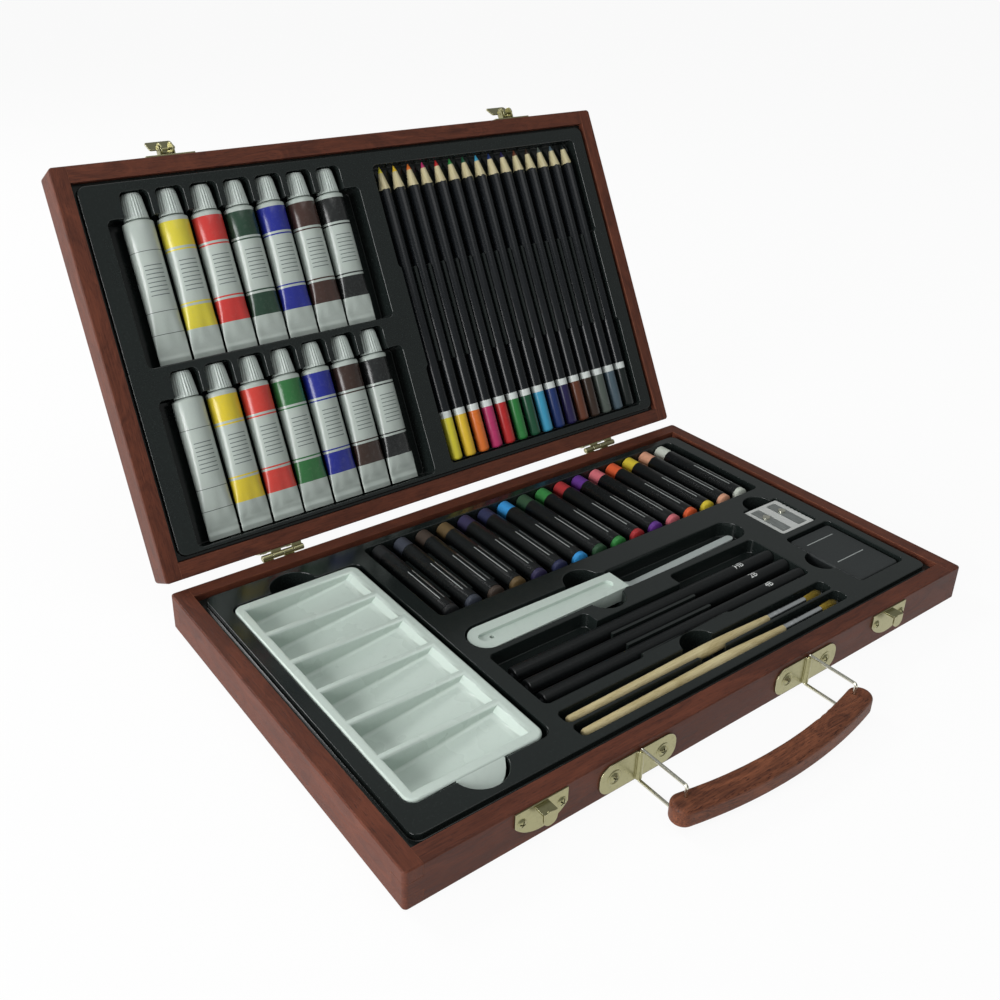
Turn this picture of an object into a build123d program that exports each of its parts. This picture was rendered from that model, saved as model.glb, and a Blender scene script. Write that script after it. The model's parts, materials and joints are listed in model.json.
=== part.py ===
from build123d import *
import math
import os

os.makedirs("parts", exist_ok=True)

# Wooden art set box, shown open. All sizes are millimetres.
# X runs left to right, Y from the front (handle side) to the hinges, Z up.
# Pieces are laid out from the front left bottom corner of the base, and moved at
# the end so that the origin is the centre of the underside of the base.
# The lid half is laid out as if it were closed, then swung open on its hinges.
# A depth is always measured from the plane where the two halves meet.

# Case
wall_thick = 8.6
corner_radius = 2.0
edge_round = 0.8
panel_thick = 2.5
panel_rebate = 4.0
finger_count = 3
lid_open_angle = 117.8

# Formed trays
sheet = 0.8
tray_gap = 0.2
plateau_depth = 0.6
plateau_radius = 4.5
moat_depth = 3.6
base_moat = 3.6
lid_moat = 2.0
base_tray_stand = 2.7
lid_tray_stand = 0.45
pocket_radius = 3.0
seat_gap = 0.3
finger_depth = 13.2

# Palette with sloping wells
palette_width = 68.6
palette_length = 156.4
palette_top_depth = 0.4
palette_radius = 5.0
palette_rim = 1.6
palette_wall = 1.2
palette_side_inset = 3.2
well_count = 6
well_pitch = 24.9
well_length = 21.4
well_width = 58.8
well_deep = 11.0
well_shallow = 4.5
well_lean = 2.0
tab_width = 24.0
tab_reach = 8.6
tab_drop = 6.0
tab_root = 1.0
palette_play_x = 3.1
palette_play_y = 1.8
palette_gap_left = 0.5
palette_finger_radius = 12.5
palette_finger_in_front = 2.0
palette_finger_in_back = 1.0

# Oil pastels
pastel_count = 16
pastel_pitch = 14.1
pastel_diameter = 9.9
pastel_paper = 0.2
pastel_paper_gap = 0.05
pastel_length = 69.4
pastel_bare_front = 3.0
pastel_bare_back = 9.5
pastel_top_depth = 0.45
pastel_play_x = 4.3
pastel_play_y = 4.1
pastel_ridge_width = 2.2
pastel_ridge_share = 0.55
pastel_ridge_radius = 1.0

# Palette knife
knife_handle_length = 94.5
knife_width_butt = 17.8
knife_width_neck = 15.0
knife_thick = 7.5
knife_top_depth = 1.6
knife_channel_width = 6.0
knife_channel_depth = 1.8
knife_channel_inset = 5.0
knife_hole_diameter = 2.4
knife_hole_from_butt = 12.5
knife_blade_length = 86.0
knife_blade_width = 4.6
knife_blade_thick = 1.0
knife_crank_length = 10.0
knife_crank_drop = 3.4
knife_blade_rise = 2.6
knife_play = 2.2
blade_pocket_width = 17.7
blade_pocket_play = 5.0
knife_slot_width = 21.0
knife_slot_length = 37.3
knife_slot_from_neck = 17.5

# Graphite pencils
graphite_count = 3
graphite_pitch = 10.45
graphite_diameter = 7.2
graphite_length = 176.3
graphite_lead_diameter = 2.2
lead_gap = 0.02
graphite_top_depth = 1.0
graphite_play_x = 3.9
graphite_play_y = 1.6
graphite_front_step = 2.6
graphite_spare = 8.6
graphite_waist_start = 59.6
graphite_waist_length = 57.0
ridge_width = 1.6
ridge_depth = 2.0

# Brushes
brush_count = 2
brush_pitch = 9.9
brush_pocket_width = 8.2
brush_wood_length = 130.0
brush_end_radius = 2.3
brush_end_length = 2.0
brush_end_face_share = 0.6
brush_end_curve_share = 0.9
brush_end_curve_reach = 0.6
brush_belly_radius = 3.3
brush_neck_radius = 1.85
brush_belly_share = 0.66
brush_top_depth = 0.6
ferrule_length = 27.5
ferrule_wall = 0.25
ferrule_mouth_radius = 1.85
ferrule_lap = 6.0
ferrule_glue_gap = 0.03
ferrule_ring_shares = (0.2, 0.3)
ferrule_ring_width = 0.8
ferrule_ring_rise = 0.1
brush_play_x = 6.6
brush_finger_radius = 10.8
brush_finger_place = 88.0
bristle_count = 160
bristle_length = 14.0
bristle_backing = 1.0
bristle_size = 0.08
bristle_flare = 1.35
bristle_round_over = 4.0
bristle_backing_gap = 0.05
bristle_edge_gap = 0.02

# Eraser
eraser_width = 34.0
eraser_length = 46.5
eraser_thick = 10.0
eraser_radius = 2.5
eraser_top_depth = 2.0
eraser_play = 3.2
eraser_finger_radius = 8.8

# Two-hole pencil sharpener
sharpener_width = 27.4
sharpener_length = 27.8
sharpener_height = 11.0
sharpener_top_depth = 1.6
sharpener_play = 1.6
sharpener_finger_radius = 9.4
sharpener_hole_diameters = (7.8, 10.4)
sharpener_hole_tip = 2.0
sharpener_hole_share = 0.86
sharpener_blade_width = 6.6
sharpener_blade_length = 23.0
sharpener_blade_thick = 0.6
sharpener_blade_shares = (0.24, 0.73)
sharpener_blade_gap = 0.4
sharpener_hole_overlap = 0.6
sharpener_corner_radius = 1.0
sharpener_rib_count = 7
sharpener_rib_share = 0.1
sharpener_first_rib_share = 0.2
sharpener_rib_radius = 0.5
sharpener_screw_share = 0.62
sharpener_screw_head = 4.2
sharpener_screw_height = 0.8
sharpener_screw_slot = 0.6
sharpener_screw_turn = 30.0
sharpener_screw_radius = 0.9
sharpener_screw_depth = 3.5
sharpener_screw_bore = 0.95
sharpener_blade_bore = 1.1

# Paint tubes, in two rows
tube_count = 7
tube_pitch = 18.5
tube_width = 16.4
tube_thick = 13.2
tube_body_length = 73.4
tube_crimp_width = 17.2
tube_crimp_length = 7.0
tube_crimp_thick = 1.6
tube_full_share = 0.45
tube_full_thick_share = 0.96
tube_waist_share = 0.75
tube_waist_thick_share = 0.6
tube_waist_spread = 0.2
tube_fold_inset = 0.3
tube_fold_thick_share = 0.8
tube_shoulder = 1.6
tube_collar = 1.2
tube_neck_diameter = 8.0
tube_neck_length = 6.0
cap_length = 13.4
cap_diameter_open = 13.0
cap_diameter_closed = 10.6
cap_thread_gap = 0.15
cap_rim_gap = 0.1
cap_bore_spare = 0.5
cap_groove_width = 15.0
tube_top_depth = 0.75
tube_play_x = 15.5
tube_play_y = 1.2

# Colour pencils
pencil_count = 15
pencil_pitch = 9.95
pencil_diameter = 7.3
pencil_barrel_length = 163.0
pencil_cone_length = 10.0
pencil_tip_length = 3.4
pencil_lead_diameter = 3.0
pencil_point_diameter = 0.8
pencil_cone_lip = 0.3
pencil_top_depth = 1.3
pencil_play_x = 3.35
pencil_play_y = 1.8
pencil_waist_start = 61.0
pencil_waist_length = 57.5

# Lands between pockets
base_land_left = 7.0
base_land_palette = 8.6
base_land_right = 8.4
base_land_group = 10.0
base_land_eraser = 5.2
base_land_sharpener = 6.8
base_land_front = 4.8
base_land_brush = 6.4
base_land_graphite = 3.2
base_land_knife = 14.1
base_land_back = 5.0
base_land_palette_front = 14.1
lid_land_left = 10.4
lid_land_middle = 12.0
lid_land_right = 8.8
lid_land_front = 5.2
lid_land_rows = 3.6
lid_land_back = 2.0
lid_land_pencil = 7.7

# Hinges
hinge_offset = 112.0
hinge_axis_behind = 3.0
hinge_length = 24.0
hinge_leaf_height = 14.0
hinge_leaf_thick = 0.8
hinge_knuckles = 4
hinge_knuckle_gap = 0.15
hinge_barrel_radius = 1.6
hinge_pin_radius = 0.8
hinge_pin_gap = 0.05
hinge_screw_spacing = 14.0
hinge_screw_drop = 8.0

# Wood screws
screw_head_radius = 2.35
screw_head_height = 1.1
screw_shank_radius = 1.1
screw_length = 7.0
screw_hole_gap = 0.03
screw_cross_width = 0.6
screw_cross_length = 2.8
screw_cross_depth = 0.7
screw_cross_turn = 35.0

# Catches on the base and latches on the lid
catch_offset = 112.0
catch_plate_width = 26.5
catch_plate_height = 13.5
catch_plate_straight = 6.9
catch_plate_thick = 0.8
catch_plate_from_rim = 1.1
catch_screw_spacing = 20.0
catch_screw_from_rim = 6.8
hook_width = 6.9
hook_reach = 5.3
hook_thick = 0.85
hook_from_rim = 2.4
hook_drop = 6.5
latch_pivot_out = 5.2
latch_pivot_from_rim = 7.2
latch_ear_gap = 0.15
latch_ear_thick = 0.6
latch_ear_radius = 2.3
latch_pin_radius = 0.75
latch_pin_fit = 0.02
latch_pin_clearance = 0.07
latch_pin_end = 0.3
latch_root_width = 6.8
latch_root_radius = 3.4
latch_sheet = 0.8
flap_width = 14.2
flap_offset = 2.2
flap_wide_start = 2.9
flap_reach = 11.0
flap_rest_angle = 45.0
flap_radius = 1.2

# Carrying handle
handle_shift = -5.6
bracket_spacing = 108.4
bracket_length = 43.6
bracket_height = 14.6
bracket_thick = 0.8
bracket_radius = 6.4
bracket_screw_spacing = 27.6
wire_radius = 0.8
wire_clearance = 0.1
wire_wood_gap = 0.15
wire_ground_gap = 0.1
wire_bend = 1.2
bail_height = 16.4
bail_reach = 26.0
bail_end_length = 6.0
bail_end_wood = 0.4
channel_wall = 0.8
grip_length = 124.6
grip_depth = 11.6
grip_thick = 9.6
grip_bow = 6.2
grip_round = 2.2
grip_above_wire = 0.9
grip_hole_inset = 4.4

# Levels below the meeting plane that follow from what lies in each pocket
palette_bottom_depth = palette_top_depth + well_deep + palette_wall
palette_floor = palette_bottom_depth + seat_gap
pastel_floor = pastel_top_depth + pastel_diameter + seat_gap
knife_floor = knife_top_depth + knife_thick + seat_gap
graphite_floor = graphite_top_depth + graphite_diameter + seat_gap
brush_floor = brush_top_depth + 2 * brush_belly_radius + seat_gap
eraser_floor = eraser_top_depth + eraser_thick + seat_gap
sharpener_floor = sharpener_top_depth + sharpener_height + seat_gap
tube_floor = tube_top_depth + tube_thick + seat_gap
pencil_floor = pencil_top_depth + pencil_diameter + seat_gap
base_deepest = max(palette_floor, pastel_floor, knife_floor, graphite_floor, brush_floor,
                   eraser_floor, sharpener_floor, finger_depth)
lid_deepest = max(tube_floor, pencil_floor)
base_height = base_deepest + sheet + base_tray_stand + panel_thick
lid_height = lid_deepest + sheet + lid_tray_stand + panel_thick

# Where the pockets lie, from the outside of the case, left to right
base_left = wall_thick + base_moat
lid_left = wall_thick + lid_moat
palette_pocket_x = base_left + base_land_left
bed_x = palette_pocket_x + palette_width + palette_play_x + base_land_palette
pastel_bed_width = pastel_count * pastel_pitch + pastel_play_x
graphite_bed_length = graphite_length + graphite_play_x
brush_length = brush_wood_length + ferrule_length + bristle_length
long_bed_end = bed_x + max(graphite_bed_length, brush_length + brush_play_x,
                           knife_handle_length + knife_blade_length + blade_pocket_play)
eraser_pocket_x = long_bed_end + base_land_group
group_width = max(eraser_width + eraser_play, sharpener_width + sharpener_play)
tube_pocket_x = lid_left + lid_land_left
tube_bed_width = tube_count * tube_pitch + tube_play_x
pencil_pocket_x = tube_pocket_x + tube_bed_width + lid_land_middle
pencil_bed_width = pencil_count * pencil_pitch + pencil_play_x
case_width = max(bed_x + pastel_bed_width + base_land_right + base_left,
                 eraser_pocket_x + group_width + base_land_eraser + base_left,
                 pencil_pocket_x + pencil_bed_width + lid_land_right + lid_left)

# Where the pockets lie, front to back
brush_bed_y = base_left + base_land_front
graphite_bed_y = brush_bed_y + (brush_count - 1) * brush_pitch + brush_pocket_width + base_land_brush
graphite_bed_width = graphite_count * graphite_pitch + graphite_play_y + graphite_spare
knife_bed_y = graphite_bed_y + graphite_bed_width + base_land_graphite
knife_bed_width = max(knife_width_butt + knife_play, blade_pocket_width)
pastel_bed_y = knife_bed_y + knife_bed_width + base_land_knife
pastel_bed_length = pastel_length + pastel_play_y
palette_pocket_y = base_left + base_land_palette_front
tube_length = tube_body_length + tube_shoulder + cap_length
tube_bed_length = tube_length + tube_play_y
tube_row_front_y = lid_left + lid_land_front
tube_row_rear_y = tube_row_front_y + tube_bed_length + lid_land_rows
pencil_length = pencil_barrel_length + pencil_cone_length + pencil_tip_length
pencil_pocket_y = lid_left + lid_land_pencil
case_depth = max(pastel_bed_y + pastel_bed_length + base_land_back + base_left,
                 palette_pocket_y + palette_length + palette_play_y + base_land_back + base_left,
                 tube_row_rear_y + tube_bed_length + lid_land_back + lid_left,
                 pencil_pocket_y + pencil_length + pencil_play_y + lid_land_back + lid_left)
middle = case_width / 2
hinge_axis_y = case_depth + hinge_axis_behind
hinge_xs = [middle - hinge_offset, middle + hinge_offset]
catch_xs = [middle - catch_offset, middle + catch_offset]

# Where the handle lies on the front of the base
bail_low = wire_radius + wire_ground_gap
bail_high = bail_low + bail_height
bail_mid = (bail_low + bail_high) / 2
wire_y = -(wire_radius + wire_wood_gap)
grip_low = bail_low + wire_radius + grip_above_wire
grip_hole_y = wire_y - bail_reach
handle_middle = middle + handle_shift
bracket_xs = [handle_middle - bracket_spacing / 2, handle_middle + bracket_spacing / 2]

# Where the loose pieces lie in their pockets
knife_mid_y = knife_bed_y + knife_bed_width / 2
knife_slot_x = bed_x + knife_handle_length - knife_slot_from_neck
blade_low_depth = knife_top_depth + knife_thick / 2 + knife_crank_drop
blade_bottom_depth = blade_low_depth + knife_blade_thick / 2
brush_z = base_height - brush_top_depth - brush_belly_radius
brush_x0 = bed_x + brush_play_x / 2
eraser_y = wall_thick + base_moat + base_land_eraser + base_land_front + eraser_play / 2
eraser_x = eraser_pocket_x + eraser_play / 2
sharpener_x = eraser_x + (eraser_width - sharpener_width) / 2
sharpener_y = eraser_y + eraser_length + base_land_sharpener
sharpener_top = base_height - sharpener_top_depth
sharpener_screw_y = sharpener_y + sharpener_length * sharpener_screw_share
blade_xs = [sharpener_x + sharpener_width * share for share in sharpener_blade_shares]
tube_z = base_height + tube_top_depth + tube_thick / 2

BASE = 1
LID = -1


def span(half, depth_a, depth_b):
    """Lowest and highest Z between two depths in the base or in the closed lid."""
    ends = (base_height - half * depth_a, base_height - half * depth_b)
    return min(ends), max(ends)


def block(x0, x1, y0, y1, z0, z1):
    """Square block between two opposite corners."""
    low = (Align.MIN, Align.MIN, Align.MIN)
    return Pos(x0, y0, z0) * Box(x1 - x0, y1 - y0, z1 - z0, align=low)


def rounded(x0, x1, y0, y1, z0, z1, radius):
    """Block whose upright corners are rounded."""
    reach = min(radius, 0.498 * (x1 - x0), 0.498 * (y1 - y0))
    plan = RectangleRounded(x1 - x0, y1 - y0, reach)
    return Pos((x0 + x1) / 2, (y0 + y1) / 2, z0) * extrude(plan, z1 - z0)


def disc(x, y, z0, z1, radius):
    """Upright cylinder."""
    return Pos(x, y, (z0 + z1) / 2) * Cylinder(radius, z1 - z0)


def bar_x(x0, x1, y, z, radius):
    """Cylinder lying along X."""
    return Pos((x0 + x1) / 2, y, z) * Rot(0, 90, 0) * Cylinder(radius, x1 - x0)


def bar_y(x, y0, y1, z, radius):
    """Cylinder lying along Y."""
    return Pos(x, (y0 + y1) / 2, z) * Rot(90, 0, 0) * Cylinder(radius, y1 - y0)


def cone_y(x, z, y0, y1, radius0, radius1):
    """Cone along Y with a radius at each end."""
    turn = Rot(-90, 0, 0)
    return Pos(x, (y0 + y1) / 2, z) * turn * Cone(radius0, radius1, y1 - y0)


def group(solids):
    """Several separate solids as one piece."""
    return Compound(children=[solid for shape in solids for solid in shape.solids()])


# Case frames and panels


def frame_walls(z0, z1, panel_z0):
    """Front, back, left and right wall of one half, finger jointed at the corners."""
    outside = rounded(0, case_width, 0, case_depth, z0, z1, corner_radius)
    rims = outside.edges().filter_by_position(Axis.Z, z0, z0)
    rims += outside.edges().filter_by_position(Axis.Z, z1, z1)
    outside = fillet(rims, edge_round)
    edge = wall_thick - panel_rebate
    rebate = block(edge, case_width - edge, edge, case_depth - edge, panel_z0, panel_z0 + panel_thick)
    layer = (z1 - z0) / finger_count
    far_x = case_width - wall_thick
    far_y = case_depth - wall_thick
    front = block(0, case_width, 0, wall_thick, z0, z1)
    back = block(0, case_width, far_y, case_depth, z0, z1)
    left = block(0, wall_thick, 0, case_depth, z0, z1)
    right = block(far_x, case_width, 0, case_depth, z0, z1)
    for step in range(finger_count):
        low = z0 + step * layer
        if step % 2:
            left -= block(0, wall_thick, 0, wall_thick, low, low + layer)
            left -= block(0, wall_thick, far_y, case_depth, low, low + layer)
            right -= block(far_x, case_width, 0, wall_thick, low, low + layer)
            right -= block(far_x, case_width, far_y, case_depth, low, low + layer)
        else:
            front -= block(0, wall_thick, 0, wall_thick, low, low + layer)
            front -= block(far_x, case_width, 0, wall_thick, low, low + layer)
            back -= block(0, wall_thick, far_y, case_depth, low, low + layer)
            back -= block(far_x, case_width, far_y, case_depth, low, low + layer)
    return [(wall & outside) - rebate for wall in (front, back, left, right)]


def thin_panel(panel_z0):
    """Plywood panel let into the rebate of the walls."""
    edge = wall_thick - panel_rebate
    return block(edge, case_width - edge, edge, case_depth - edge, panel_z0, panel_z0 + panel_thick)


# Formed plastic trays


def box_pocket(half, x0, x1, y0, y1, depth, radius=pocket_radius):
    """Outside and inside of a four-sided pocket."""
    outer = rounded(x0 - sheet, x1 + sheet, y0 - sheet, y1 + sheet,
                    *span(half, plateau_depth, depth + sheet), radius + sheet)
    inner = rounded(x0, x1, y0, y1, *span(half, -sheet, depth), radius)
    return outer, inner


def round_pocket(half, x, y, radius, depth):
    """Outside and inside of a round finger recess."""
    outer = disc(x, y, *span(half, plateau_depth, depth + sheet), radius + sheet)
    inner = disc(x, y, *span(half, -sheet, depth), radius)
    return outer, inner


def formed_tray(half, moat, floor_depth, pockets, ridges):
    """One formed sheet: plateau, lowered edge, skirt, pockets and the ridges in them."""
    edge = wall_thick + tray_gap
    inset = wall_thick + moat
    plateau = rounded(inset, case_width - inset, inset, case_depth - inset,
                      *span(half, plateau_depth, moat_depth + sheet), plateau_radius)
    under = inset + sheet
    hollow = rounded(under, case_width - under, under, case_depth - under,
                     *span(half, plateau_depth + sheet, moat_depth + sheet), plateau_radius - sheet)
    moat_z = span(half, moat_depth, moat_depth + sheet)
    skirt_z = span(half, moat_depth, floor_depth)
    shell = plateau + block(edge, case_width - edge, edge, case_depth - edge, *moat_z)
    skirt = block(edge, case_width - edge, edge, case_depth - edge, *skirt_z)
    inside = edge + sheet
    skirt -= block(inside, case_width - inside, inside, case_depth - inside, *skirt_z)
    shell = shell + skirt - hollow
    shell = shell + [outer for outer, inner in pockets]
    shell = shell - [inner for outer, inner in pockets]
    if ridges:
        shell = shell + ridges
    return shell


def base_tray():
    """Tray with pockets for the palette, pastels, knife, pencils, brushes, eraser and sharpener."""
    palette_x1 = palette_pocket_x + palette_width + palette_play_x
    palette_y1 = palette_pocket_y + palette_length + palette_play_y
    palette_mid = palette_pocket_x + palette_gap_left + palette_width / 2
    pockets = [
        box_pocket(BASE, palette_pocket_x, palette_x1, palette_pocket_y, palette_y1,
                   palette_floor, palette_radius),
        round_pocket(BASE, palette_mid, palette_pocket_y + palette_finger_in_front,
                     palette_finger_radius, finger_depth),
        round_pocket(BASE, palette_mid, palette_y1 - palette_finger_in_back,
                     palette_finger_radius, finger_depth),
        box_pocket(BASE, bed_x, bed_x + pastel_bed_width, pastel_bed_y,
                   pastel_bed_y + pastel_bed_length, pastel_floor),
        box_pocket(BASE, bed_x - knife_play / 2, bed_x + knife_handle_length + knife_play / 2,
                   knife_bed_y, knife_bed_y + knife_bed_width, knife_floor, knife_bed_width / 2),
        box_pocket(BASE, bed_x + knife_handle_length - blade_pocket_width / 2,
                   bed_x + knife_handle_length + knife_blade_length + blade_pocket_play,
                   knife_mid_y - blade_pocket_width / 2, knife_mid_y + blade_pocket_width / 2,
                   max(knife_floor, blade_bottom_depth + seat_gap), blade_pocket_width / 2),
        box_pocket(BASE, knife_slot_x - knife_slot_width / 2, knife_slot_x + knife_slot_width / 2,
                   knife_mid_y - knife_slot_length / 2, knife_mid_y + knife_slot_length / 2,
                   finger_depth, knife_slot_width / 2),
        box_pocket(BASE, bed_x, bed_x + graphite_waist_start, graphite_bed_y,
                   graphite_bed_y + graphite_bed_width, graphite_floor),
        box_pocket(BASE, bed_x, bed_x + graphite_bed_length,
                   graphite_bed_y + graphite_front_step,
                   graphite_bed_y + graphite_bed_width - graphite_spare, graphite_floor),
        box_pocket(BASE, bed_x + graphite_waist_start + graphite_waist_length,
                   bed_x + graphite_bed_length, graphite_bed_y + graphite_front_step / 2,
                   graphite_bed_y + graphite_bed_width, graphite_floor),
        round_pocket(BASE, bed_x + brush_finger_place, brush_y(0) + brush_finger_radius / 8,
                     brush_finger_radius, finger_depth),
        box_pocket(BASE, eraser_pocket_x, eraser_pocket_x + eraser_width + eraser_play,
                   eraser_y - eraser_play / 2, eraser_y + eraser_length + eraser_play / 2, eraser_floor),
        round_pocket(BASE, eraser_pocket_x, eraser_y + eraser_length / 2,
                     eraser_finger_radius, finger_depth),
        box_pocket(BASE, sharpener_x - sharpener_play / 2,
                   sharpener_x + sharpener_width + sharpener_play / 2,
                   sharpener_y - sharpener_play / 2,
                   sharpener_y + sharpener_length + sharpener_play / 2,
                   sharpener_floor, pocket_radius / 2),
        round_pocket(BASE, sharpener_x + sharpener_width / 2,
                     sharpener_y + sharpener_length + sharpener_play / 2,
                     sharpener_finger_radius, finger_depth),
    ]
    for number in range(brush_count):
        pockets.append(box_pocket(BASE, bed_x, bed_x + brush_length + brush_play_x,
                                  brush_y(number) - brush_pocket_width / 2,
                                  brush_y(number) + brush_pocket_width / 2, brush_floor, pocket_radius))
    ridges = []
    ridge_y0 = pastel_bed_y + pastel_bed_length * (1 - pastel_ridge_share) / 2
    ridge_y1 = ridge_y0 + pastel_bed_length * pastel_ridge_share
    for number in range(1, pastel_count):
        x = pastel_x(number) - pastel_pitch / 2
        ridges.append(rounded(x - pastel_ridge_width / 2, x + pastel_ridge_width / 2, ridge_y0, ridge_y1,
                              *span(BASE, pastel_top_depth + pastel_diameter / 2, pastel_floor),
                              pastel_ridge_radius))
    waist = bed_x + graphite_waist_start
    for number in range(1, graphite_count):
        y = graphite_y(number) - graphite_pitch / 2
        ridges.append(rounded(waist, waist + graphite_waist_length,
                              y - ridge_width / 2, y + ridge_width / 2,
                              *span(BASE, ridge_depth, graphite_floor), ridge_width / 2))
    return formed_tray(BASE, base_moat, base_deepest + sheet + base_tray_stand, pockets, ridges)


def lid_tray():
    """Tray with two beds of paint tubes and one bed of colour pencils."""
    pockets = []
    for row_y in (tube_row_front_y, tube_row_rear_y):
        body_y = row_y + cap_length
        pockets.append(box_pocket(LID, tube_pocket_x, tube_pocket_x + tube_bed_width,
                                  body_y, row_y + tube_bed_length, tube_floor))
        for number in range(tube_count):
            x = tube_x(number)
            half_groove = cap_groove_width / 2
            pockets.append(box_pocket(LID, x - half_groove, x + half_groove,
                                      row_y, body_y + pocket_radius, tube_floor))
    waist = pencil_pocket_y + pencil_waist_start
    end = pencil_pocket_y + pencil_length + pencil_play_y
    x1 = pencil_pocket_x + pencil_bed_width
    pockets.append(box_pocket(LID, pencil_pocket_x, x1, pencil_pocket_y, waist, pencil_floor))
    pockets.append(box_pocket(LID, pencil_pocket_x, x1, waist + pencil_waist_length, end, pencil_floor))
    pockets.append(box_pocket(LID, pencil_pocket_x + ridge_width, x1 - ridge_width,
                              pencil_pocket_y, end, pencil_floor))
    ridges = []
    for number in range(1, pencil_count):
        x = pencil_x(number) - pencil_pitch / 2
        ridges.append(rounded(x - ridge_width / 2, x + ridge_width / 2,
                              waist, waist + pencil_waist_length,
                              *span(LID, ridge_depth, pencil_floor), ridge_width / 2))
    return formed_tray(LID, lid_moat, lid_deepest + sheet + lid_tray_stand, pockets, ridges)


# Hinges and wood screws


def hinge_leaf(x, half):
    """Leaf on the back of one half, with its own knuckles of the barrel."""
    pitch = hinge_length / hinge_knuckles
    barrel = hinge_barrel_radius
    z0, z1 = span(half, barrel, hinge_leaf_height)
    leaf = block(x - hinge_length / 2, x + hinge_length / 2,
                 case_depth, case_depth + hinge_leaf_thick, z0, z1)
    neck_z0, neck_z1 = span(half, barrel - hinge_leaf_thick, barrel)
    first = 0 if half == BASE else 1
    for number in range(first, hinge_knuckles, 2):
        x0 = x - hinge_length / 2 + number * pitch + hinge_knuckle_gap
        x1 = x0 + pitch - 2 * hinge_knuckle_gap
        leaf += block(x0, x1, case_depth, hinge_axis_y, neck_z0, neck_z1)
        leaf += bar_x(x0, x1, hinge_axis_y, base_height, barrel)
    bore = hinge_pin_radius + hinge_pin_gap
    leaf -= bar_x(x - hinge_length, x + hinge_length, hinge_axis_y, base_height, bore)
    for place in hinge_screw_places(half):
        if abs(place[0] - x) < hinge_length:
            leaf -= screw_hole(place, 1)
    return leaf


def hinge_pin(x):
    """Pin through the barrel of one hinge."""
    return bar_x(x - hinge_length / 2, x + hinge_length / 2, hinge_axis_y, base_height, hinge_pin_radius)


def hinge_screw_places(half):
    """Centres of the hinge screws on the back of one half."""
    z = base_height - half * hinge_screw_drop
    return [(middle + side * hinge_offset + shift * hinge_screw_spacing / 2, z)
            for side in (-1, 1) for shift in (-1, 1)]


def screw_hole(place, facing):
    """Pilot hole in the wall and clearance in the plate; facing is 1 at the back, -1 in front."""
    x, z = place
    face = case_depth if facing > 0 else 0
    ends = sorted((face + facing * 2, face - facing * screw_length))
    return bar_y(x, ends[0], ends[1], z, screw_shank_radius + screw_hole_gap)


def wood_screw(place, facing, seat):
    """Round-head screw with a cross recess, its head on a plate of the given thickness."""
    x, z = place
    face = case_depth if facing > 0 else 0
    ball = (screw_head_radius ** 2 + screw_head_height ** 2) / (2 * screw_head_height)
    head = Pos(0, 0, screw_head_height - ball) * Sphere(ball)
    head &= Pos(0, 0, screw_head_height / 2) * Cylinder(screw_head_radius, screw_head_height)
    shank_length = screw_length + seat - screw_hole_gap
    shank = Pos(0, 0, -shank_length / 2) * Cylinder(screw_shank_radius, shank_length)
    screw = head + shank
    for turn in (0, 90):
        slot = Box(screw_cross_length, screw_cross_width, 2 * screw_cross_depth)
        screw -= Pos(0, 0, screw_head_height) * Rot(0, 0, turn + screw_cross_turn) * slot
    return Pos(x, face + facing * seat, z) * Rot(-90 * facing, 0, 0) * screw


# Catches and latches


def plate_outline(x, half):
    """Flat-topped plate with a rounded end, standing on the front face of one half."""
    z_flat = base_height - half * catch_plate_from_rim
    z_corner = z_flat - half * catch_plate_straight
    z_round = z_flat - half * catch_plate_height
    width = catch_plate_width / 2
    flat = Line((x - width, z_flat), (x + width, z_flat))
    right = Line((x + width, z_flat), (x + width, z_corner))
    curve = ThreePointArc((x + width, z_corner), (x, z_round), (x - width, z_corner))
    left = Line((x - width, z_corner), (x - width, z_flat))
    face = make_face(Curve() + [flat, right, curve, left])
    plate = extrude(Plane.XZ * face, catch_plate_thick)
    for place in catch_screw_places(x, half):
        plate -= screw_hole(place, -1)
    return plate


def catch_screw_places(x, half):
    """Centres of the two screws of one catch or latch plate."""
    z = base_height - half * catch_screw_from_rim
    return [(x - catch_screw_spacing / 2, z), (x + catch_screw_spacing / 2, z)]


def catch_plate(x):
    """Plate on the base with the hook that the latch closes over."""
    top = base_height - hook_from_rim
    tip = -catch_plate_thick - hook_reach
    end_radius = hook_width / 2
    arm = block(x - end_radius, x + end_radius, tip, -catch_plate_thick / 2, top - hook_thick, top)
    low = top - hook_drop + end_radius
    turned = block(x - end_radius, x + end_radius, tip, tip + hook_thick, low, top)
    turned += bar_y(x, tip, tip + hook_thick, low, end_radius)
    return plate_outline(x, BASE) + arm + turned


def latch_plate(x):
    """Plate on the lid with the two ears that carry the flap."""
    plate = plate_outline(x, LID)
    z = base_height + latch_pivot_from_rim
    inner = latch_root_width / 2 + latch_ear_gap
    for side in (-1, 1):
        x0, x1 = sorted((x + side * inner, x + side * (inner + latch_ear_thick)))
        ear = block(x0, x1, -latch_pivot_out, -catch_plate_thick / 2,
                    z - latch_ear_radius, z + latch_ear_radius)
        plate += ear + bar_x(x0, x1, -latch_pivot_out, z, latch_ear_radius)
    bore = latch_pin_radius + latch_pin_fit
    return plate - bar_x(x - catch_plate_width, x + catch_plate_width, -latch_pivot_out, z, bore)


def latch_pin(x):
    """Pin through both ears and the flap."""
    reach = latch_root_width / 2 + latch_ear_gap + latch_ear_thick + latch_pin_end
    z = base_height + latch_pivot_from_rim
    return bar_x(x - reach, x + reach, -latch_pivot_out, z, latch_pin_radius)


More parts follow.
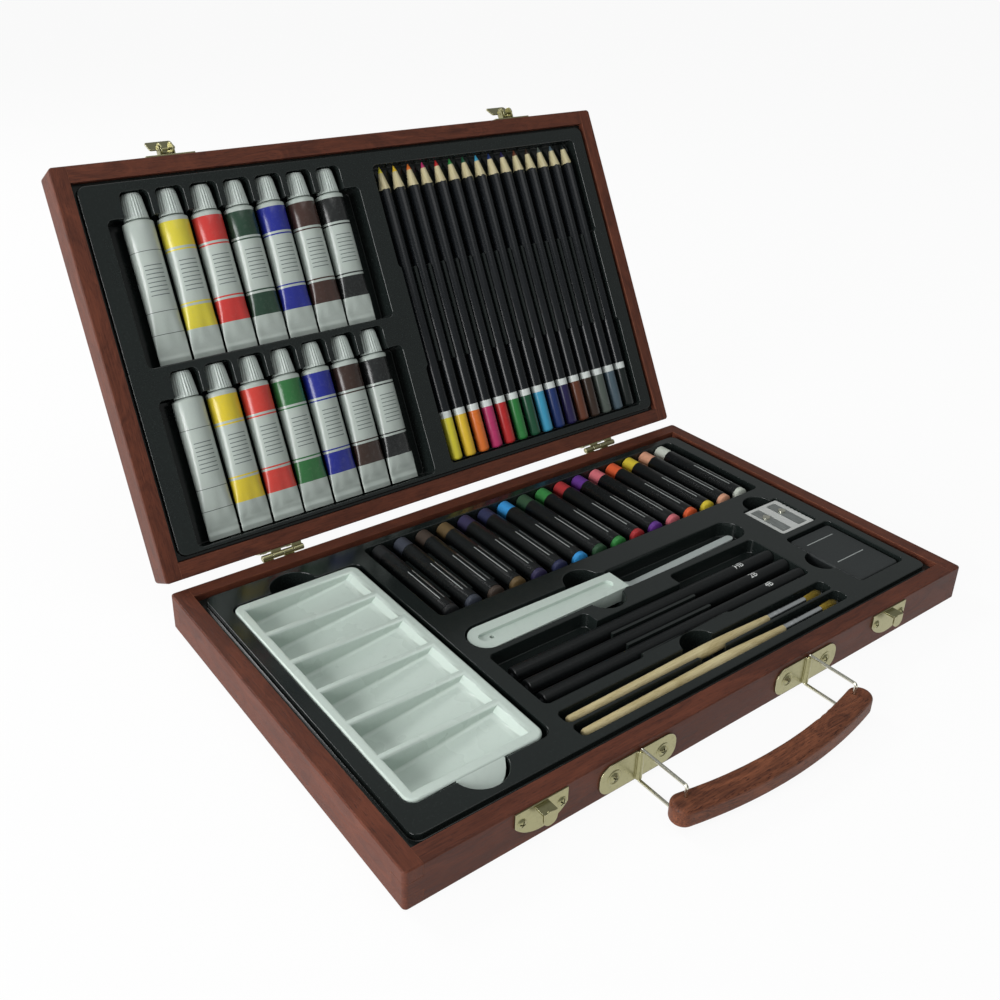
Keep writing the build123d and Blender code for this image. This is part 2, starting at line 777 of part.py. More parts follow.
def latch_flap(x):
    """Pressed flap: two flanks and a web round the pin, and a wide thumb plate."""
    flank = Cylinder(latch_root_radius, latch_root_width)
    channel = flank - Cylinder(latch_root_radius + 1, latch_root_width - 2 * latch_sheet)
    sheet_place = flap_offset - latch_sheet / 2
    web = Pos(sheet_place, 0, 0) * Box(latch_sheet, latch_root_width, latch_root_width)
    strip = Box(latch_sheet, flap_wide_start, latch_root_width)
    strip = Pos(sheet_place, flap_wide_start / 2, 0) * strip
    wide_length = flap_reach - flap_wide_start
    wide = extrude(RectangleRounded(wide_length, flap_width, flap_radius), latch_sheet)
    wide = Rot(0, -90, 0) * Rot(0, 0, 90) * wide
    wide = Pos(flap_offset, flap_wide_start + wide_length / 2, 0) * wide
    flap = channel + web + strip + wide
    flap -= Cylinder(latch_pin_radius + latch_pin_clearance, 2 * flap_width)
    lay_out = Rot(0, 90, 0) * Rot(0, 0, 90)
    pivot = Pos(x, -latch_pivot_out, base_height + latch_pivot_from_rim)
    return pivot * Rot(flap_rest_angle, 0, 0) * lay_out * flap


# Carrying handle


def bracket_screw_places(x):
    """Centres of the two screws of one handle bracket."""
    return [(x - bracket_screw_spacing / 2, bail_mid), (x + bracket_screw_spacing / 2, bail_mid)]


def handle_bracket(x):
    """Rounded plate whose raised middle channel holds the wire bail against the wall."""
    low = bail_mid - bracket_height / 2
    high = bail_mid + bracket_height / 2
    plan = RectangleRounded(bracket_length, bracket_height, min(bracket_radius, 0.49 * bracket_height))
    plate = Pos(x, 0, bail_mid) * extrude(Plane.XZ * plan, bracket_thick)
    bore = wire_radius + wire_clearance
    outside = bore + channel_wall
    plate += block(x - outside, x + outside, wire_y, 0, low, high)
    plate += disc(x, wire_y, low, high, outside)
    plate -= block(x - bore, x + bore, wire_y, 1, low - 1, high + 1)
    plate -= disc(x, wire_y, low - 1, high + 1, bore)
    plate -= block(x - 2 * outside, x + 2 * outside, 0, 2 * outside, low - 1, high + 1)
    for place in bracket_screw_places(x):
        plate -= screw_hole(place, -1)
    return plate


def handle_bail(x):
    """Wire bent into a bracket shape: one side in the channel, both ends in the grip."""
    end = min(bail_end_length, grip_thick / 2 - bail_end_wood)
    points = [(x, grip_hole_y, grip_low + grip_thick - end), (x, grip_hole_y, bail_high),
              (x, wire_y, bail_high), (x, wire_y, bail_low),
              (x, grip_hole_y, bail_low), (x, grip_hole_y, grip_low + end)]
    path = FilletPolyline(*points, radius=wire_bend)
    return sweep(Plane(origin=path @ 0, z_dir=path % 0) * Circle(wire_radius), path=path)


def handle_grip():
    """Bowed wooden grip with rounded ends and edges, drilled at each end for the bails."""
    half = grip_length / 2 - grip_depth / 2
    y = grip_hole_y + grip_hole_inset - grip_depth / 2
    spine = ThreePointArc((handle_middle - half, y), (handle_middle, y - grip_bow),
                          (handle_middle + half, y))
    grip = Pos(0, 0, grip_low) * extrude(SlotArc(spine, grip_depth), grip_thick)
    rims = grip.edges().filter_by_position(Axis.Z, grip_low, grip_low)
    rims += grip.edges().filter_by_position(Axis.Z, grip_low + grip_thick, grip_low + grip_thick)
    grip = fillet(rims, grip_round)
    for x in bracket_xs:
        grip -= disc(x, grip_hole_y, 0, bail_high, wire_radius + wire_clearance)
    return grip


# What lies in the base tray


def palette():
    """White palette: a rim, six sloping wells and a lifting tab, all of one thin wall."""
    x0 = palette_pocket_x + palette_gap_left
    x1 = x0 + palette_width
    y0 = palette_pocket_y + palette_play_y / 2
    y1 = y0 + palette_length
    top = base_height - palette_top_depth
    shape = rounded(x0, x1, y0, y1, top - palette_rim, top, palette_radius)
    skirt_depth = palette_top_depth + well_shallow
    side = palette_side_inset
    skirt = rounded(x0 + side / 2, x1 - side / 2, y0 + side / 2, y1 - side / 2,
                    *span(BASE, palette_top_depth, skirt_depth), palette_radius)
    inset = side / 2 + palette_wall
    skirt -= rounded(x0 + inset, x1 - inset, y0 + inset, y1 - inset,
                     *span(BASE, palette_top_depth + palette_rim, skirt_depth), palette_radius)
    shape += skirt
    mid_x = (x0 + x1) / 2
    outers = []
    inners = []
    for number in range(well_count):
        y = (y0 + y1) / 2 + (number - (well_count - 1) / 2) * well_pitch
        inners.append(palette_well(mid_x, y, top, 0))
        outers.append(palette_well(mid_x, y, top, palette_wall))
    shape = shape + outers + palette_tab(mid_x, y0, top)
    return shape - inners


def palette_well(x, y, top, grow):
    """Space of one well: deep at the left, its floor rising to the right."""
    left = x - well_width / 2 - grow
    right = x + well_width / 2 + grow
    low = top - well_deep - grow
    high = top - well_shallow - grow
    points = [(left, top), (left + well_lean, low), (right - 2 * well_lean, high), (right, top)]
    if not grow:
        points += [(right, top + 1), (left, top + 1)]
    profile = Polyline(*points, close=True)
    length = well_length + 2 * grow
    return Pos(0, y + length / 2, 0) * extrude(Plane.XZ * make_face(profile), length)


def palette_tab(x, y, top):
    """Half-round tab that slopes down from the front edge of the palette."""
    reach = tab_reach
    root = y + tab_root
    slope = Polyline((root, top), (root, top - palette_rim), (y - reach, top - tab_drop - palette_rim),
                     (y - reach, top - tab_drop), close=True)
    plate = Pos(x - tab_width / 2, 0, 0) * extrude(Plane.YZ * make_face(slope), tab_width)
    half = tab_width / 2
    outline = make_face(Curve() + [
        Line((x - half, root), (x + half, root)),
        Line((x + half, root), (x + half, y)),
        ThreePointArc((x + half, y), (x, y - reach), (x - half, y)),
        Line((x - half, y), (x - half, root))])
    return plate & Pos(0, 0, top - 2 * tab_drop) * extrude(outline, 3 * tab_drop)


def pastel_x(number):
    """Centre of one pastel."""
    return bed_x + pastel_play_x / 2 + (number + 0.5) * pastel_pitch


def pastel_sets():
    """Sticks of colour and the paper wrappers round them."""
    z = base_height - pastel_top_depth - pastel_diameter / 2
    y1 = pastel_bed_y + pastel_bed_length - seat_gap
    y0 = y1 - pastel_length
    core = pastel_diameter / 2 - pastel_paper
    sticks = []
    papers = []
    for number in range(pastel_count):
        x = pastel_x(number)
        sticks.append(bar_y(x, y0, y1, z, core - pastel_paper_gap))
        paper = bar_y(x, y0 + pastel_bare_front, y1 - pastel_bare_back, z, pastel_diameter / 2)
        papers.append(paper - bar_y(x, y0, y1, z, core))
    return group(sticks), group(papers)


def knife_handle():
    """Tapered handle with a rounded butt, a sunk channel and a hanging hole."""
    x1 = bed_x + knife_handle_length
    butt = knife_width_butt / 2
    neck = knife_width_neck / 2
    y = knife_mid_y
    outline = make_face(Curve() + [
        ThreePointArc((bed_x + butt, y + butt), (bed_x, y), (bed_x + butt, y - butt)),
        Line((bed_x + butt, y - butt), (x1, y - neck)),
        Line((x1, y - neck), (x1, y + neck)),
        Line((x1, y + neck), (bed_x + butt, y + butt))])
    z0, z1 = span(BASE, knife_top_depth, knife_top_depth + knife_thick)
    handle = Pos(0, 0, z0) * extrude(outline, z1 - z0)
    half = knife_channel_width / 2
    handle -= rounded(bed_x + knife_channel_inset, x1 - knife_channel_inset, y - half, y + half,
                      z1 - knife_channel_depth, z1 + 1, half)
    return handle - disc(bed_x + knife_hole_from_butt, y, z0 - 1, z1 + 1, knife_hole_diameter / 2)


def knife_blade():
    """Thin blade with a cranked neck and a rounded tip."""
    x0 = bed_x + knife_handle_length
    x1 = x0 + knife_blade_length
    neck_z = base_height - knife_top_depth - knife_thick / 2
    low_z = base_height - blade_low_depth
    tip_z = low_z + knife_blade_rise
    bend = x0 + knife_crank_length
    half = knife_blade_thick / 2
    side = Polyline((x0, neck_z + half), (bend, low_z + half), (x1, tip_z + half),
                    (x1, tip_z - half), (bend, low_z - half), (x0, neck_z - half), close=True)
    width = knife_blade_width
    band = Pos(0, knife_mid_y + width / 2, 0) * extrude(Plane.XZ * make_face(side), width)
    plan = rounded(x0 - width, x1, knife_mid_y - width / 2, knife_mid_y + width / 2,
                   0, base_height, width / 2)
    return band & plan


def graphite_y(number):
    """Centre of one graphite pencil."""
    first = graphite_bed_y + graphite_front_step + graphite_play_y / 2 - ridge_width
    return first + (number + 0.5) * graphite_pitch


def graphite_sets():
    """Round barrels and the leads inside them."""
    z = base_height - graphite_top_depth - graphite_diameter / 2
    x1 = bed_x + graphite_bed_length - seat_gap
    x0 = x1 - graphite_length
    lead = graphite_lead_diameter / 2
    barrels = []
    leads = []
    for number in range(graphite_count):
        y = graphite_y(number)
        bore = bar_x(x0, x1, y, z, lead + lead_gap)
        barrels.append(bar_x(x0, x1, y, z, graphite_diameter / 2) - bore)
        leads.append(bar_x(x0, x1, y, z, lead))
    return group(barrels), group(leads)


def brush_y(number):
    """Centre of one brush; number 0 is the one further from the front."""
    return brush_bed_y + brush_pocket_width / 2 + (brush_count - 1 - number) * brush_pitch


def brush_wood(number):
    """Turned handle: rounded end, belly and slim neck that goes into the ferrule."""
    length = brush_wood_length
    belly = length * brush_belly_share
    core = brush_neck_radius - ferrule_wall - ferrule_glue_gap
    face = brush_end_radius * brush_end_face_share
    curve = (brush_end_curve_reach, brush_end_radius * brush_end_curve_share)
    end = (brush_end_length, brush_end_radius)
    profile = make_face(Curve() + [
        Line((0, 0), (0, face)),
        ThreePointArc((0, face), curve, end),
        Line(end, (belly, brush_belly_radius)),
        Line((belly, brush_belly_radius), (length, brush_neck_radius)),
        Line((length, brush_neck_radius), (length, core)),
        Line((length, core), (length + ferrule_lap, core)),
        Line((length + ferrule_lap, core), (length + ferrule_lap, 0)),
        Line((length + ferrule_lap, 0), (0, 0))])
    return Pos(brush_x0, brush_y(number), brush_z) * revolve(profile, Axis.X)


def brush_ferrule(number):
    """Rolled metal ferrule."""
    x0 = brush_x0 + brush_wood_length
    x1 = x0 + ferrule_length
    y = brush_y(number)
    outer = brush_neck_radius
    tube = bar_x(x0, x1, y, brush_z, outer)
    for share in ferrule_ring_shares:
        ring_x0 = x0 + share * ferrule_length
        tube += bar_x(ring_x0, ring_x0 + ferrule_ring_width, y, brush_z, outer + ferrule_ring_rise)
    return tube - bar_x(x0 - 1, x1 + 1, y, brush_z, outer - ferrule_wall)


def brush_bristles(number):
    """Tuft of separate strands spread from the ferrule, joined to a slice of their backing."""
    x0 = brush_x0 + brush_wood_length + ferrule_length
    y = brush_y(number)
    packed = ferrule_mouth_radius - ferrule_wall - bristle_backing_gap
    backing = bar_x(x0 - bristle_backing, x0, y, brush_z, packed)
    strands = []
    golden = math.pi * (3 - math.sqrt(5))
    reach = packed - bristle_size - bristle_edge_gap
    for strand in range(bristle_count):
        ring = math.sqrt((strand + 0.5) / bristle_count)
        turn = strand * golden
        side = (ring * reach * math.cos(turn), ring * reach * math.sin(turn))
        length = bristle_length - bristle_round_over * ring ** 2
        faces = []
        for x, spread in ((x0 - bristle_backing / 2, 1.0), (x0 + length, bristle_flare)):
            plane = Plane(origin=(x, y + side[0] * spread, brush_z + side[1] * spread), z_dir=(1, 0, 0))
            faces.append(plane * RegularPolygon(bristle_size, 3))
        strands.append(loft(faces, ruled=True))
    return backing.fuse(*strands)


def eraser():
    """Rounded block of rubber."""
    z0, z1 = span(BASE, eraser_top_depth, eraser_top_depth + eraser_thick)
    shape = rounded(eraser_x, eraser_x + eraser_width, eraser_y, eraser_y + eraser_length,
                    z0, z1, eraser_radius)
    rims = shape.edges().filter_by_position(Axis.Z, z0, z0)
    rims += shape.edges().filter_by_position(Axis.Z, z1, z1)
    return fillet(rims, eraser_radius / 2)


def sharpener_body():
    """Metal block with two tapered holes and a flat seat over each for its blade."""
    x0 = sharpener_x
    y0 = sharpener_y
    z0 = sharpener_top - sharpener_height
    body = rounded(x0, x0 + sharpener_width, y0, y0 + sharpener_length, z0, sharpener_top,
                   sharpener_corner_radius)
    for x, diameter in zip(blade_xs, sharpener_hole_diameters):
        length = sharpener_length * sharpener_hole_share
        z = sharpener_top - sharpener_blade_thick - diameter / 2 + sharpener_hole_overlap
        body -= cone_y(x, z, y0, y0 + length, diameter / 2, sharpener_hole_tip / 2)
        body -= bar_y(x, y0 + length - 1, y0 + sharpener_length + 1, z, sharpener_hole_tip / 2)
        seat = sharpener_blade_width / 2 + sharpener_blade_gap
        seat_length = sharpener_blade_length + 2 * sharpener_blade_gap
        seat_y0 = y0 + (sharpener_length - seat_length) / 2
        body -= block(x - seat, x + seat, seat_y0, seat_y0 + seat_length,
                      sharpener_top - sharpener_blade_thick, sharpener_top + 1)
        body -= disc(x, sharpener_screw_y, z0 + 1, sharpener_top + 1, sharpener_screw_bore)
    for side in (x0, x0 + sharpener_width):
        for rib in range(sharpener_rib_count):
            y = y0 + sharpener_length * (sharpener_first_rib_share + sharpener_rib_share * rib)
            body -= disc(side, y, z0 - 1, sharpener_top + 1, sharpener_rib_radius)
    return body


def sharpener_blades():
    """Two thin steel blades in their seats."""
    blades = []
    y0 = sharpener_y + (sharpener_length - sharpener_blade_length) / 2
    for x in blade_xs:
        half = sharpener_blade_width / 2
        blade = block(x - half, x + half, y0, y0 + sharpener_blade_length,
                      sharpener_top - sharpener_blade_thick, sharpener_top)
        blades.append(blade - disc(x, sharpener_screw_y, 0, base_height, sharpener_blade_bore))
    return group(blades)


def sharpener_screws():
    """One slotted screw through each blade."""
    screws = []
    for x in blade_xs:
        y = sharpener_screw_y
        high = sharpener_top + sharpener_screw_height
        head = disc(x, y, sharpener_top, high, sharpener_screw_head / 2)
        slot = Box(2 * sharpener_screw_head, sharpener_screw_slot, sharpener_screw_height)
        head -= Pos(x, y, high) * Rot(0, 0, sharpener_screw_turn) * slot
        low = sharpener_top - sharpener_screw_depth
        screws.append(head + disc(x, y, low, sharpener_top, sharpener_screw_radius))
    return group(screws)


# What lies in the lid tray


def tube_x(number):
    """Centre of one paint tube."""
    return tube_pocket_x + tube_play_x / 2 + (number + 0.5) * tube_pitch


def oval(x, y, width, thick):
    """Oval section of a tube, square to Y."""
    return Pos(x, y, tube_z) * (Plane.XZ * Ellipse(width / 2, thick / 2))


def tube_body(x, row_y):
    """Soft metal tube: screw neck, shoulder, full body and flattened, folded end."""
    cap_end = row_y + tube_play_y / 2 + cap_length
    start = cap_end + tube_shoulder
    end = start + tube_body_length
    fold = end - tube_crimp_length
    sections = [(start, tube_width, tube_thick),
                (start + tube_full_share * tube_body_length, tube_width,
                 tube_thick * tube_full_thick_share),
                (start + tube_waist_share * tube_body_length, tube_width + tube_waist_spread,
                 tube_thick * tube_waist_thick_share),
                (fold, tube_crimp_width - tube_fold_inset, tube_crimp_thick * tube_fold_thick_share)]
    body = loft([oval(x, y, width, thick) for y, width, thick in sections])
    collar = tube_neck_diameter + 2 * tube_collar
    shoulder = loft([oval(x, cap_end, collar, collar), oval(x, start, tube_width, tube_thick)])
    neck = bar_y(x, cap_end - tube_neck_length, cap_end + tube_shoulder / 2,
                 tube_z, tube_neck_diameter / 2)
    half = tube_crimp_width / 2
    crimp = block(x - half, x + half, fold, end,
                  tube_z - tube_crimp_thick / 2, tube_z + tube_crimp_thick / 2)
    return body + shoulder + neck + crimp


def tube_cap(x, row_y):
    """Tapered screw cap."""
    y0 = row_y + tube_play_y / 2
    y1 = y0 + cap_length
    cap = cone_y(x, tube_z, y0, y1 - cap_rim_gap, cap_diameter_closed / 2, cap_diameter_open / 2)
    bore = tube_neck_diameter / 2 + cap_thread_gap
    return cap - bar_y(x, y1 - tube_neck_length - cap_bore_spare, y1 + 1, tube_z, bore)


def pencil_x(number):
    """Centre of one colour pencil."""
    return pencil_pocket_x + pencil_play_x / 2 + (number + 0.5) * pencil_pitch


def pencil_sets():
    """Sharpened round wooden barrels and the coloured leads inside them."""
    z = base_height + pencil_top_depth + pencil_diameter / 2
    tip_y = pencil_pocket_y + pencil_play_y / 2
    cone_start = tip_y + pencil_tip_length
    barrel_start = cone_start + pencil_cone_length
    end = barrel_start + pencil_barrel_length
    lead = pencil_lead_diameter / 2
    barrels = []
    leads = []
    for number in range(pencil_count):
        x = pencil_x(number)
        barrel = bar_y(x, barrel_start, end, z, pencil_diameter / 2)
        barrel += cone_y(x, z, cone_start, barrel_start, lead + pencil_cone_lip, pencil_diameter / 2)
        barrels.append(barrel - bar_y(x, tip_y, end + 1, z, lead + lead_gap))
        core = bar_y(x, cone_start, end, z, lead)
        leads.append(core + cone_y(x, z, tip_y, cone_start, pencil_point_diameter / 2, lead))
    return group(barrels), group(leads)


# Putting it together


base_nodes = {}
lid_nodes = {}

front_base_screws = [place for x in catch_xs for place in catch_screw_places(x, BASE)]
front_base_screws += [place for x in bracket_xs for place in bracket_screw_places(x)]
front_lid_screws = [place for x in catch_xs for place in catch_screw_places(x, LID)]

names = ("front_wall", "back_wall", "left_wall", "right_wall")
walls = frame_walls(0, base_height, 0)
walls[0] -= [screw_hole(place, -1) for place in front_base_screws]
walls[1] -= [screw_hole(place, 1) for place in hinge_screw_places(BASE)]
for name, wall in zip(names, walls):
    base_nodes["base_" + name] = wall
base_nodes["base_panel"] = thin_panel(0)
base_nodes["base_tray"] = base_tray()

case_top = base_height + lid_height
walls = frame_walls(base_height, case_top, case_top - panel_thick)
walls[0] -= [screw_hole(place, -1) for place in front_lid_screws]
walls[1] -= [screw_hole(place, 1) for place in hinge_screw_places(LID)]
for name, wall in zip(names, walls):
    lid_nodes["lid_" + name] = wall
lid_nodes["lid_panel"] = thin_panel(case_top - panel_thick)
lid_nodes["lid_tray"] = lid_tray()

for side, x in zip(("left", "right"), hinge_xs):
    base_nodes["hinge_" + side + "_base_leaf"] = hinge_leaf(x, BASE)
    lid_nodes["hinge_" + side + "_lid_leaf"] = hinge_leaf(x, LID)
    base_nodes["hinge_" + side + "_pin"] = hinge_pin(x)
base_nodes["hinge_base_screws"] = group([wood_screw(place, 1, hinge_leaf_thick)
                                         for place in hinge_screw_places(BASE)])
lid_nodes["hinge_lid_screws"] = group([wood_screw(place, 1, hinge_leaf_thick)
                                       for place in hinge_screw_places(LID)])

for side, x in zip(("left", "right"), catch_xs):
    base_nodes["catch_plate_" + side] = catch_plate(x)
    lid_nodes["latch_plate_" + side] = latch_plate(x)
    lid_nodes["latch_pin_" + side] = latch_pin(x)
    lid_nodes["latch_flap_" + side] = latch_flap(x)
catch_places = [place for x in catch_xs for place in catch_screw_places(x, BASE)]
base_nodes["catch_screws"] = group([wood_screw(place, -1, catch_plate_thick) for place in catch_places])
lid_nodes["latch_screws"] = group([wood_screw(place, -1, catch_plate_thick)
                                   for place in front_lid_screws])

for side, x in zip(("left", "right"), bracket_xs):
    base_nodes["handle_bracket_" + side] = handle_bracket(x)
    base_nodes["handle_bail_" + side] = handle_bail(x)
handle_places = [place for x in bracket_xs for place in bracket_screw_places(x)]
base_nodes["handle_screws"] = group([wood_screw(place, -1, bracket_thick) for place in handle_places])
base_nodes["handle_grip"] = handle_grip()

base_nodes["palette"] = palette()
base_nodes["palette_knife_handle"] = knife_handle()
base_nodes["palette_knife_blade"] = knife_blade()
base_nodes["eraser"] = eraser()
base_nodes["sharpener_body"] = sharpener_body()
base_nodes["sharpener_blades"] = sharpener_blades()
base_nodes["sharpener_screws"] = sharpener_screws()
for number in range(brush_count):
    label = "brush_" + str(number + 1)
    base_nodes[label + "_handle"] = brush_wood(number)
    base_nodes[label + "_ferrule"] = brush_ferrule(number)
    base_nodes[label + "_bristles"] = brush_bristles(number)
base_nodes["graphite_pencil_barrels"], base_nodes["graphite_pencil_leads"] = graphite_sets()
base_nodes["pastel_sticks"], base_nodes["pastel_wrappers"] = pastel_sets()

for row, row_y in (("front", tube_row_front_y), ("rear", tube_row_rear_y)):
    places = [tube_x(number) for number in range(tube_count)]
    lid_nodes["paint_tubes_" + row] = group([tube_body(x, row_y) for x in places])
    lid_nodes["tube_caps_" + row] = group([tube_cap(x, row_y) for x in places])
lid_nodes["colour_pencil_barrels"], lid_nodes["colour_pencil_leads"] = pencil_sets()

to_origin = Pos(-case_width / 2, -case_depth / 2, 0)
hinge_line = Pos(0, hinge_axis_y, base_height)
swing = hinge_line * Rot(-lid_open_angle, 0, 0) * hinge_line.inverse()
for name, shape in base_nodes.items():
    export_step(to_origin * shape, "parts/" + name + ".step")
for name, shape in lid_nodes.items():
    export_step(to_origin * swing * shape, "parts/" + name + ".step")
print("case", round(case_width, 3), round(case_depth, 3), round(base_height, 3), round(lid_height, 3))
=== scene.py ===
import json
import math

import bmesh
import bpy
from mathutils import Matrix, Vector


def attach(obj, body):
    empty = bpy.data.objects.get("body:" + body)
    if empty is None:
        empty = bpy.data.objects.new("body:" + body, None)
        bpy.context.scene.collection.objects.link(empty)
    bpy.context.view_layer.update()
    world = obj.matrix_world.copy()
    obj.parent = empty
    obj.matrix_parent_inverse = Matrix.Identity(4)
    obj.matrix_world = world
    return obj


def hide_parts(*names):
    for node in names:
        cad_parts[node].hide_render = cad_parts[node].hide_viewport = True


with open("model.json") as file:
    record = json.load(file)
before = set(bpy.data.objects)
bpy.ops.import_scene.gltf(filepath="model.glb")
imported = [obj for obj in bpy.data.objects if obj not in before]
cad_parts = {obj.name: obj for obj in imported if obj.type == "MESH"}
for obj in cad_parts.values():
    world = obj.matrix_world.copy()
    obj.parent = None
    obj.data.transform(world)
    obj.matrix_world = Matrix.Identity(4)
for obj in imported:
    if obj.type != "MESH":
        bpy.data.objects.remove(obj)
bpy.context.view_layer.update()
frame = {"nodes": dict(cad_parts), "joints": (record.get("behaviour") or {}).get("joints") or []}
scene = bpy.context.scene
scene.view_settings.view_transform = "Standard"


# Room round the box: a wide pale floor that carries the shadow, an even grey room with a pale
# horizon, and three soft lamps: a low window at the left, one above and a small one behind.
floor_radius, floor_white, backdrop_share = 14.0, (0.86, 0.86, 0.86, 1), 0.93


def linked(name, data):
    """A new object in the scene that shows some data."""
    made = bpy.data.objects.new(name, data)
    scene.collection.objects.link(made)
    return made


floor = linked("floor", bpy.data.meshes.new("floor"))
floor_mesh = bmesh.new()
bmesh.ops.create_circle(floor_mesh, cap_ends=True, segments=64, radius=floor_radius)
floor_mesh.to_mesh(floor.data)
floor_mesh.free()


def feed(tree, node, feeds):
    """Sets the inputs of a node, or links them to the outputs of others."""
    for key, value in feeds.items():
        if isinstance(value, bpy.types.NodeSocket):
            tree.links.new(value, node.inputs[key])
        else:
            node.inputs[key].default_value = value


def add(tree, kind, feeds=None, **settings):
    """Adds a node to a tree; feeds sets or links its inputs, and settings are its own properties."""
    made = tree.nodes.new(kind)
    for key, value in settings.items():
        setattr(made, key, value)
    feed(tree, made, feeds or {})
    return made


def calc(tree, operation, *values):
    """Output of one Math node."""
    return add(tree, "ShaderNodeMath", dict(enumerate(values)), operation=operation).outputs[0]


def times(tree, *values):
    """Product of two or more values."""
    product = values[0]
    for value in values[1:]:
        product = calc(tree, "MULTIPLY", product, value)
    return product


def split(tree, vector):
    """The three parts of a vector."""
    return add(tree, "ShaderNodeSeparateXYZ", {0: vector}).outputs


def span(tree, value, low, high, first=0.0, last=1.0):
    """Runs from first to last while a value runs from low to high."""
    return add(tree, "ShaderNodeMapRange", {0: value, 1: low, 2: high, 3: first, 4: last}).outputs[0]


def start_material(name):
    """A new material with its tree and its Principled shader."""
    material = bpy.data.materials.new(name)
    material.use_nodes = True
    return material, material.node_tree, material.node_tree.nodes["Principled BSDF"]


paper, tree, surface = start_material("backdrop_paper")
feed(tree, surface, {"Base Color": floor_white, "Roughness": 0.9, "Specular IOR Level": 0.1})
rays = add(tree, "ShaderNodeLightPath").outputs
mirrored = calc(tree, "MAXIMUM", rays["Is Glossy Ray"], rays["Is Transmission Ray"])
share = times(tree, calc(tree, "MAXIMUM", rays["Is Camera Ray"], mirrored), backdrop_share)
glow = add(tree, "ShaderNodeEmission", {"Color": (1, 1, 1, 1), "Strength": 1.0})
blend = add(tree, "ShaderNodeMixShader", {0: share, 1: surface.outputs[0], 2: glow.outputs[0]})
feed(tree, tree.nodes["Material Output"], {"Surface": blend.outputs[0]})
floor.data.materials.append(paper)

horizon_glow, overhead_glow, horizon_from, horizon_to = 0.62, 0.30, 0.02, 0.14
room = bpy.data.worlds.new("room")
room.use_nodes = True
tree = room.node_tree
height = split(tree, add(tree, "ShaderNodeTexCoord").outputs["Generated"])[2]
fade = span(tree, height, horizon_from, horizon_to, horizon_glow, overhead_glow)
feed(tree, tree.nodes["Background"], {"Strength": fade, "Color": (0.97, 1.0, 0.99, 1)})
scene.world = room

lit_point = Vector((0, 0, 0.05))
for name, place, size, watts in (("window", (-1.5, -0.25, 0.42), 0.9, 24),
                                 ("ceiling", (0.15, -0.3, 1.7), 1.1, 6),
                                 ("back_window", (-0.42, 1.25, 1.05), 0.5, 9)):
    lamp = linked(name, bpy.data.lights.new(name, "AREA"))
    lamp.data.size = size
    lamp.data.energy = watts
    lamp.location = place
    lamp.rotation_mode = "QUATERNION"
    lamp.rotation_quaternion = (Vector(place) - lit_point).to_track_quat("Z", "Y")

eye, lens, film, framing = (-0.3231, -0.33963, 0.32626), 38.987, 36.0, (0.018, -0.0675)
azimuth, elevation, roll = (math.radians(angle) for angle in (-37.239, 25.784, 1.444))
back = Vector((math.sin(azimuth) * math.cos(elevation), -math.cos(azimuth) * math.cos(elevation),
               math.sin(elevation)))
right = Vector((0, 0, 1)).cross(back).normalized()
up = back.cross(right)
camera = linked("camera", bpy.data.cameras.new("camera"))
camera.data.lens = lens
camera.data.sensor_width = film
camera.data.shift_x, camera.data.shift_y = framing
camera.data.clip_start = 0.01
axes = (math.cos(roll) * right + math.sin(roll) * up, math.cos(roll) * up - math.sin(roll) * right, back)
camera.matrix_world = Matrix.Translation(eye) @ Matrix(axes).transposed().to_4x4()
scene.camera = camera


# Walls of the base and the lid: softwood boards finger-jointed at the corners, stained
# mahogany and lacquered, with their outer edges eased and a hairline at each joint.
MM = 0.001
case_width, case_depth, base_height = 350.0, 211.2, 19.2
quarter_turn, flat_angle, edge_angle = math.pi / 2, math.radians(1), math.radians(30)
hinge = next(joint for joint in frame["joints"] if joint["name"] == "lid_hinge")
pivot = Vector(hinge["pos_m"])
lid_angle = math.radians(hinge["range_deg"][1])
in_base = Matrix.Translation(Vector((-case_width / 2, -case_depth / 2, 0)) * MM) @ Matrix.Scale(MM, 4)
swing = Matrix.Translation(pivot) @ Matrix.Rotation(-lid_angle, 4, "X") @ Matrix.Translation(-pivot)
in_lid = swing @ in_base


def finish_piece(name, mesh, material, body, nodes, corner=35):
    """Links a mesh as a piece that rides on a body and stands for some CAD nodes."""
    for polygon in mesh.polygons:
        polygon.use_smooth = True
    mesh.set_sharp_from_angle(angle=math.radians(corner))
    piece = linked(name, mesh)
    if not mesh.materials:
        mesh.materials.append(material)
    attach(piece, body)
    if nodes:
        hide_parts(*nodes)
    return piece


def dressed(node, body, material, roundings, place=in_base, weld=0.002, corner=35, clamp=True):
    """A merged copy of a CAD node with its edges rounded; a rounding is a width, steps and a test."""
    copy = bmesh.new()
    copy.from_mesh(frame["nodes"][node].data)
    bmesh.ops.remove_doubles(copy, verts=copy.verts, dist=weld * MM)
    bmesh.ops.dissolve_limit(copy, angle_limit=flat_angle, verts=copy.verts, edges=copy.edges)
    worn = copy.faces.layers.float.new("edge")
    home = place.inverted()
    for width, steps, test in roundings:
        chosen = []
        for edge in copy.edges:
            if edge.is_manifold and edge.calc_face_angle() > edge_angle:
                if test(home @ edge.verts[0].co, home @ edge.verts[1].co, edge.is_convex):
                    chosen.append(edge)
        made = bmesh.ops.bevel(copy, geom=chosen, offset=width * MM, offset_type="OFFSET", segments=steps,
                               profile=0.5, affect="EDGES", clamp_overlap=clamp)
        for face in made["faces"]:
            face[worn] = 1.0
    mesh = bpy.data.meshes.new(node + "_finish")
    copy.to_mesh(mesh)
    copy.free()
    piece = finish_piece(node + "_finish", mesh, material, body, [node], corner)
    piece.modifiers.new("even_shading", "WEIGHTED_NORMAL").keep_sharp = True


def all_edges(width, steps=2):
    """One rounding for every edge of a piece."""
    return [(width, steps, lambda a, b, convex: True)]


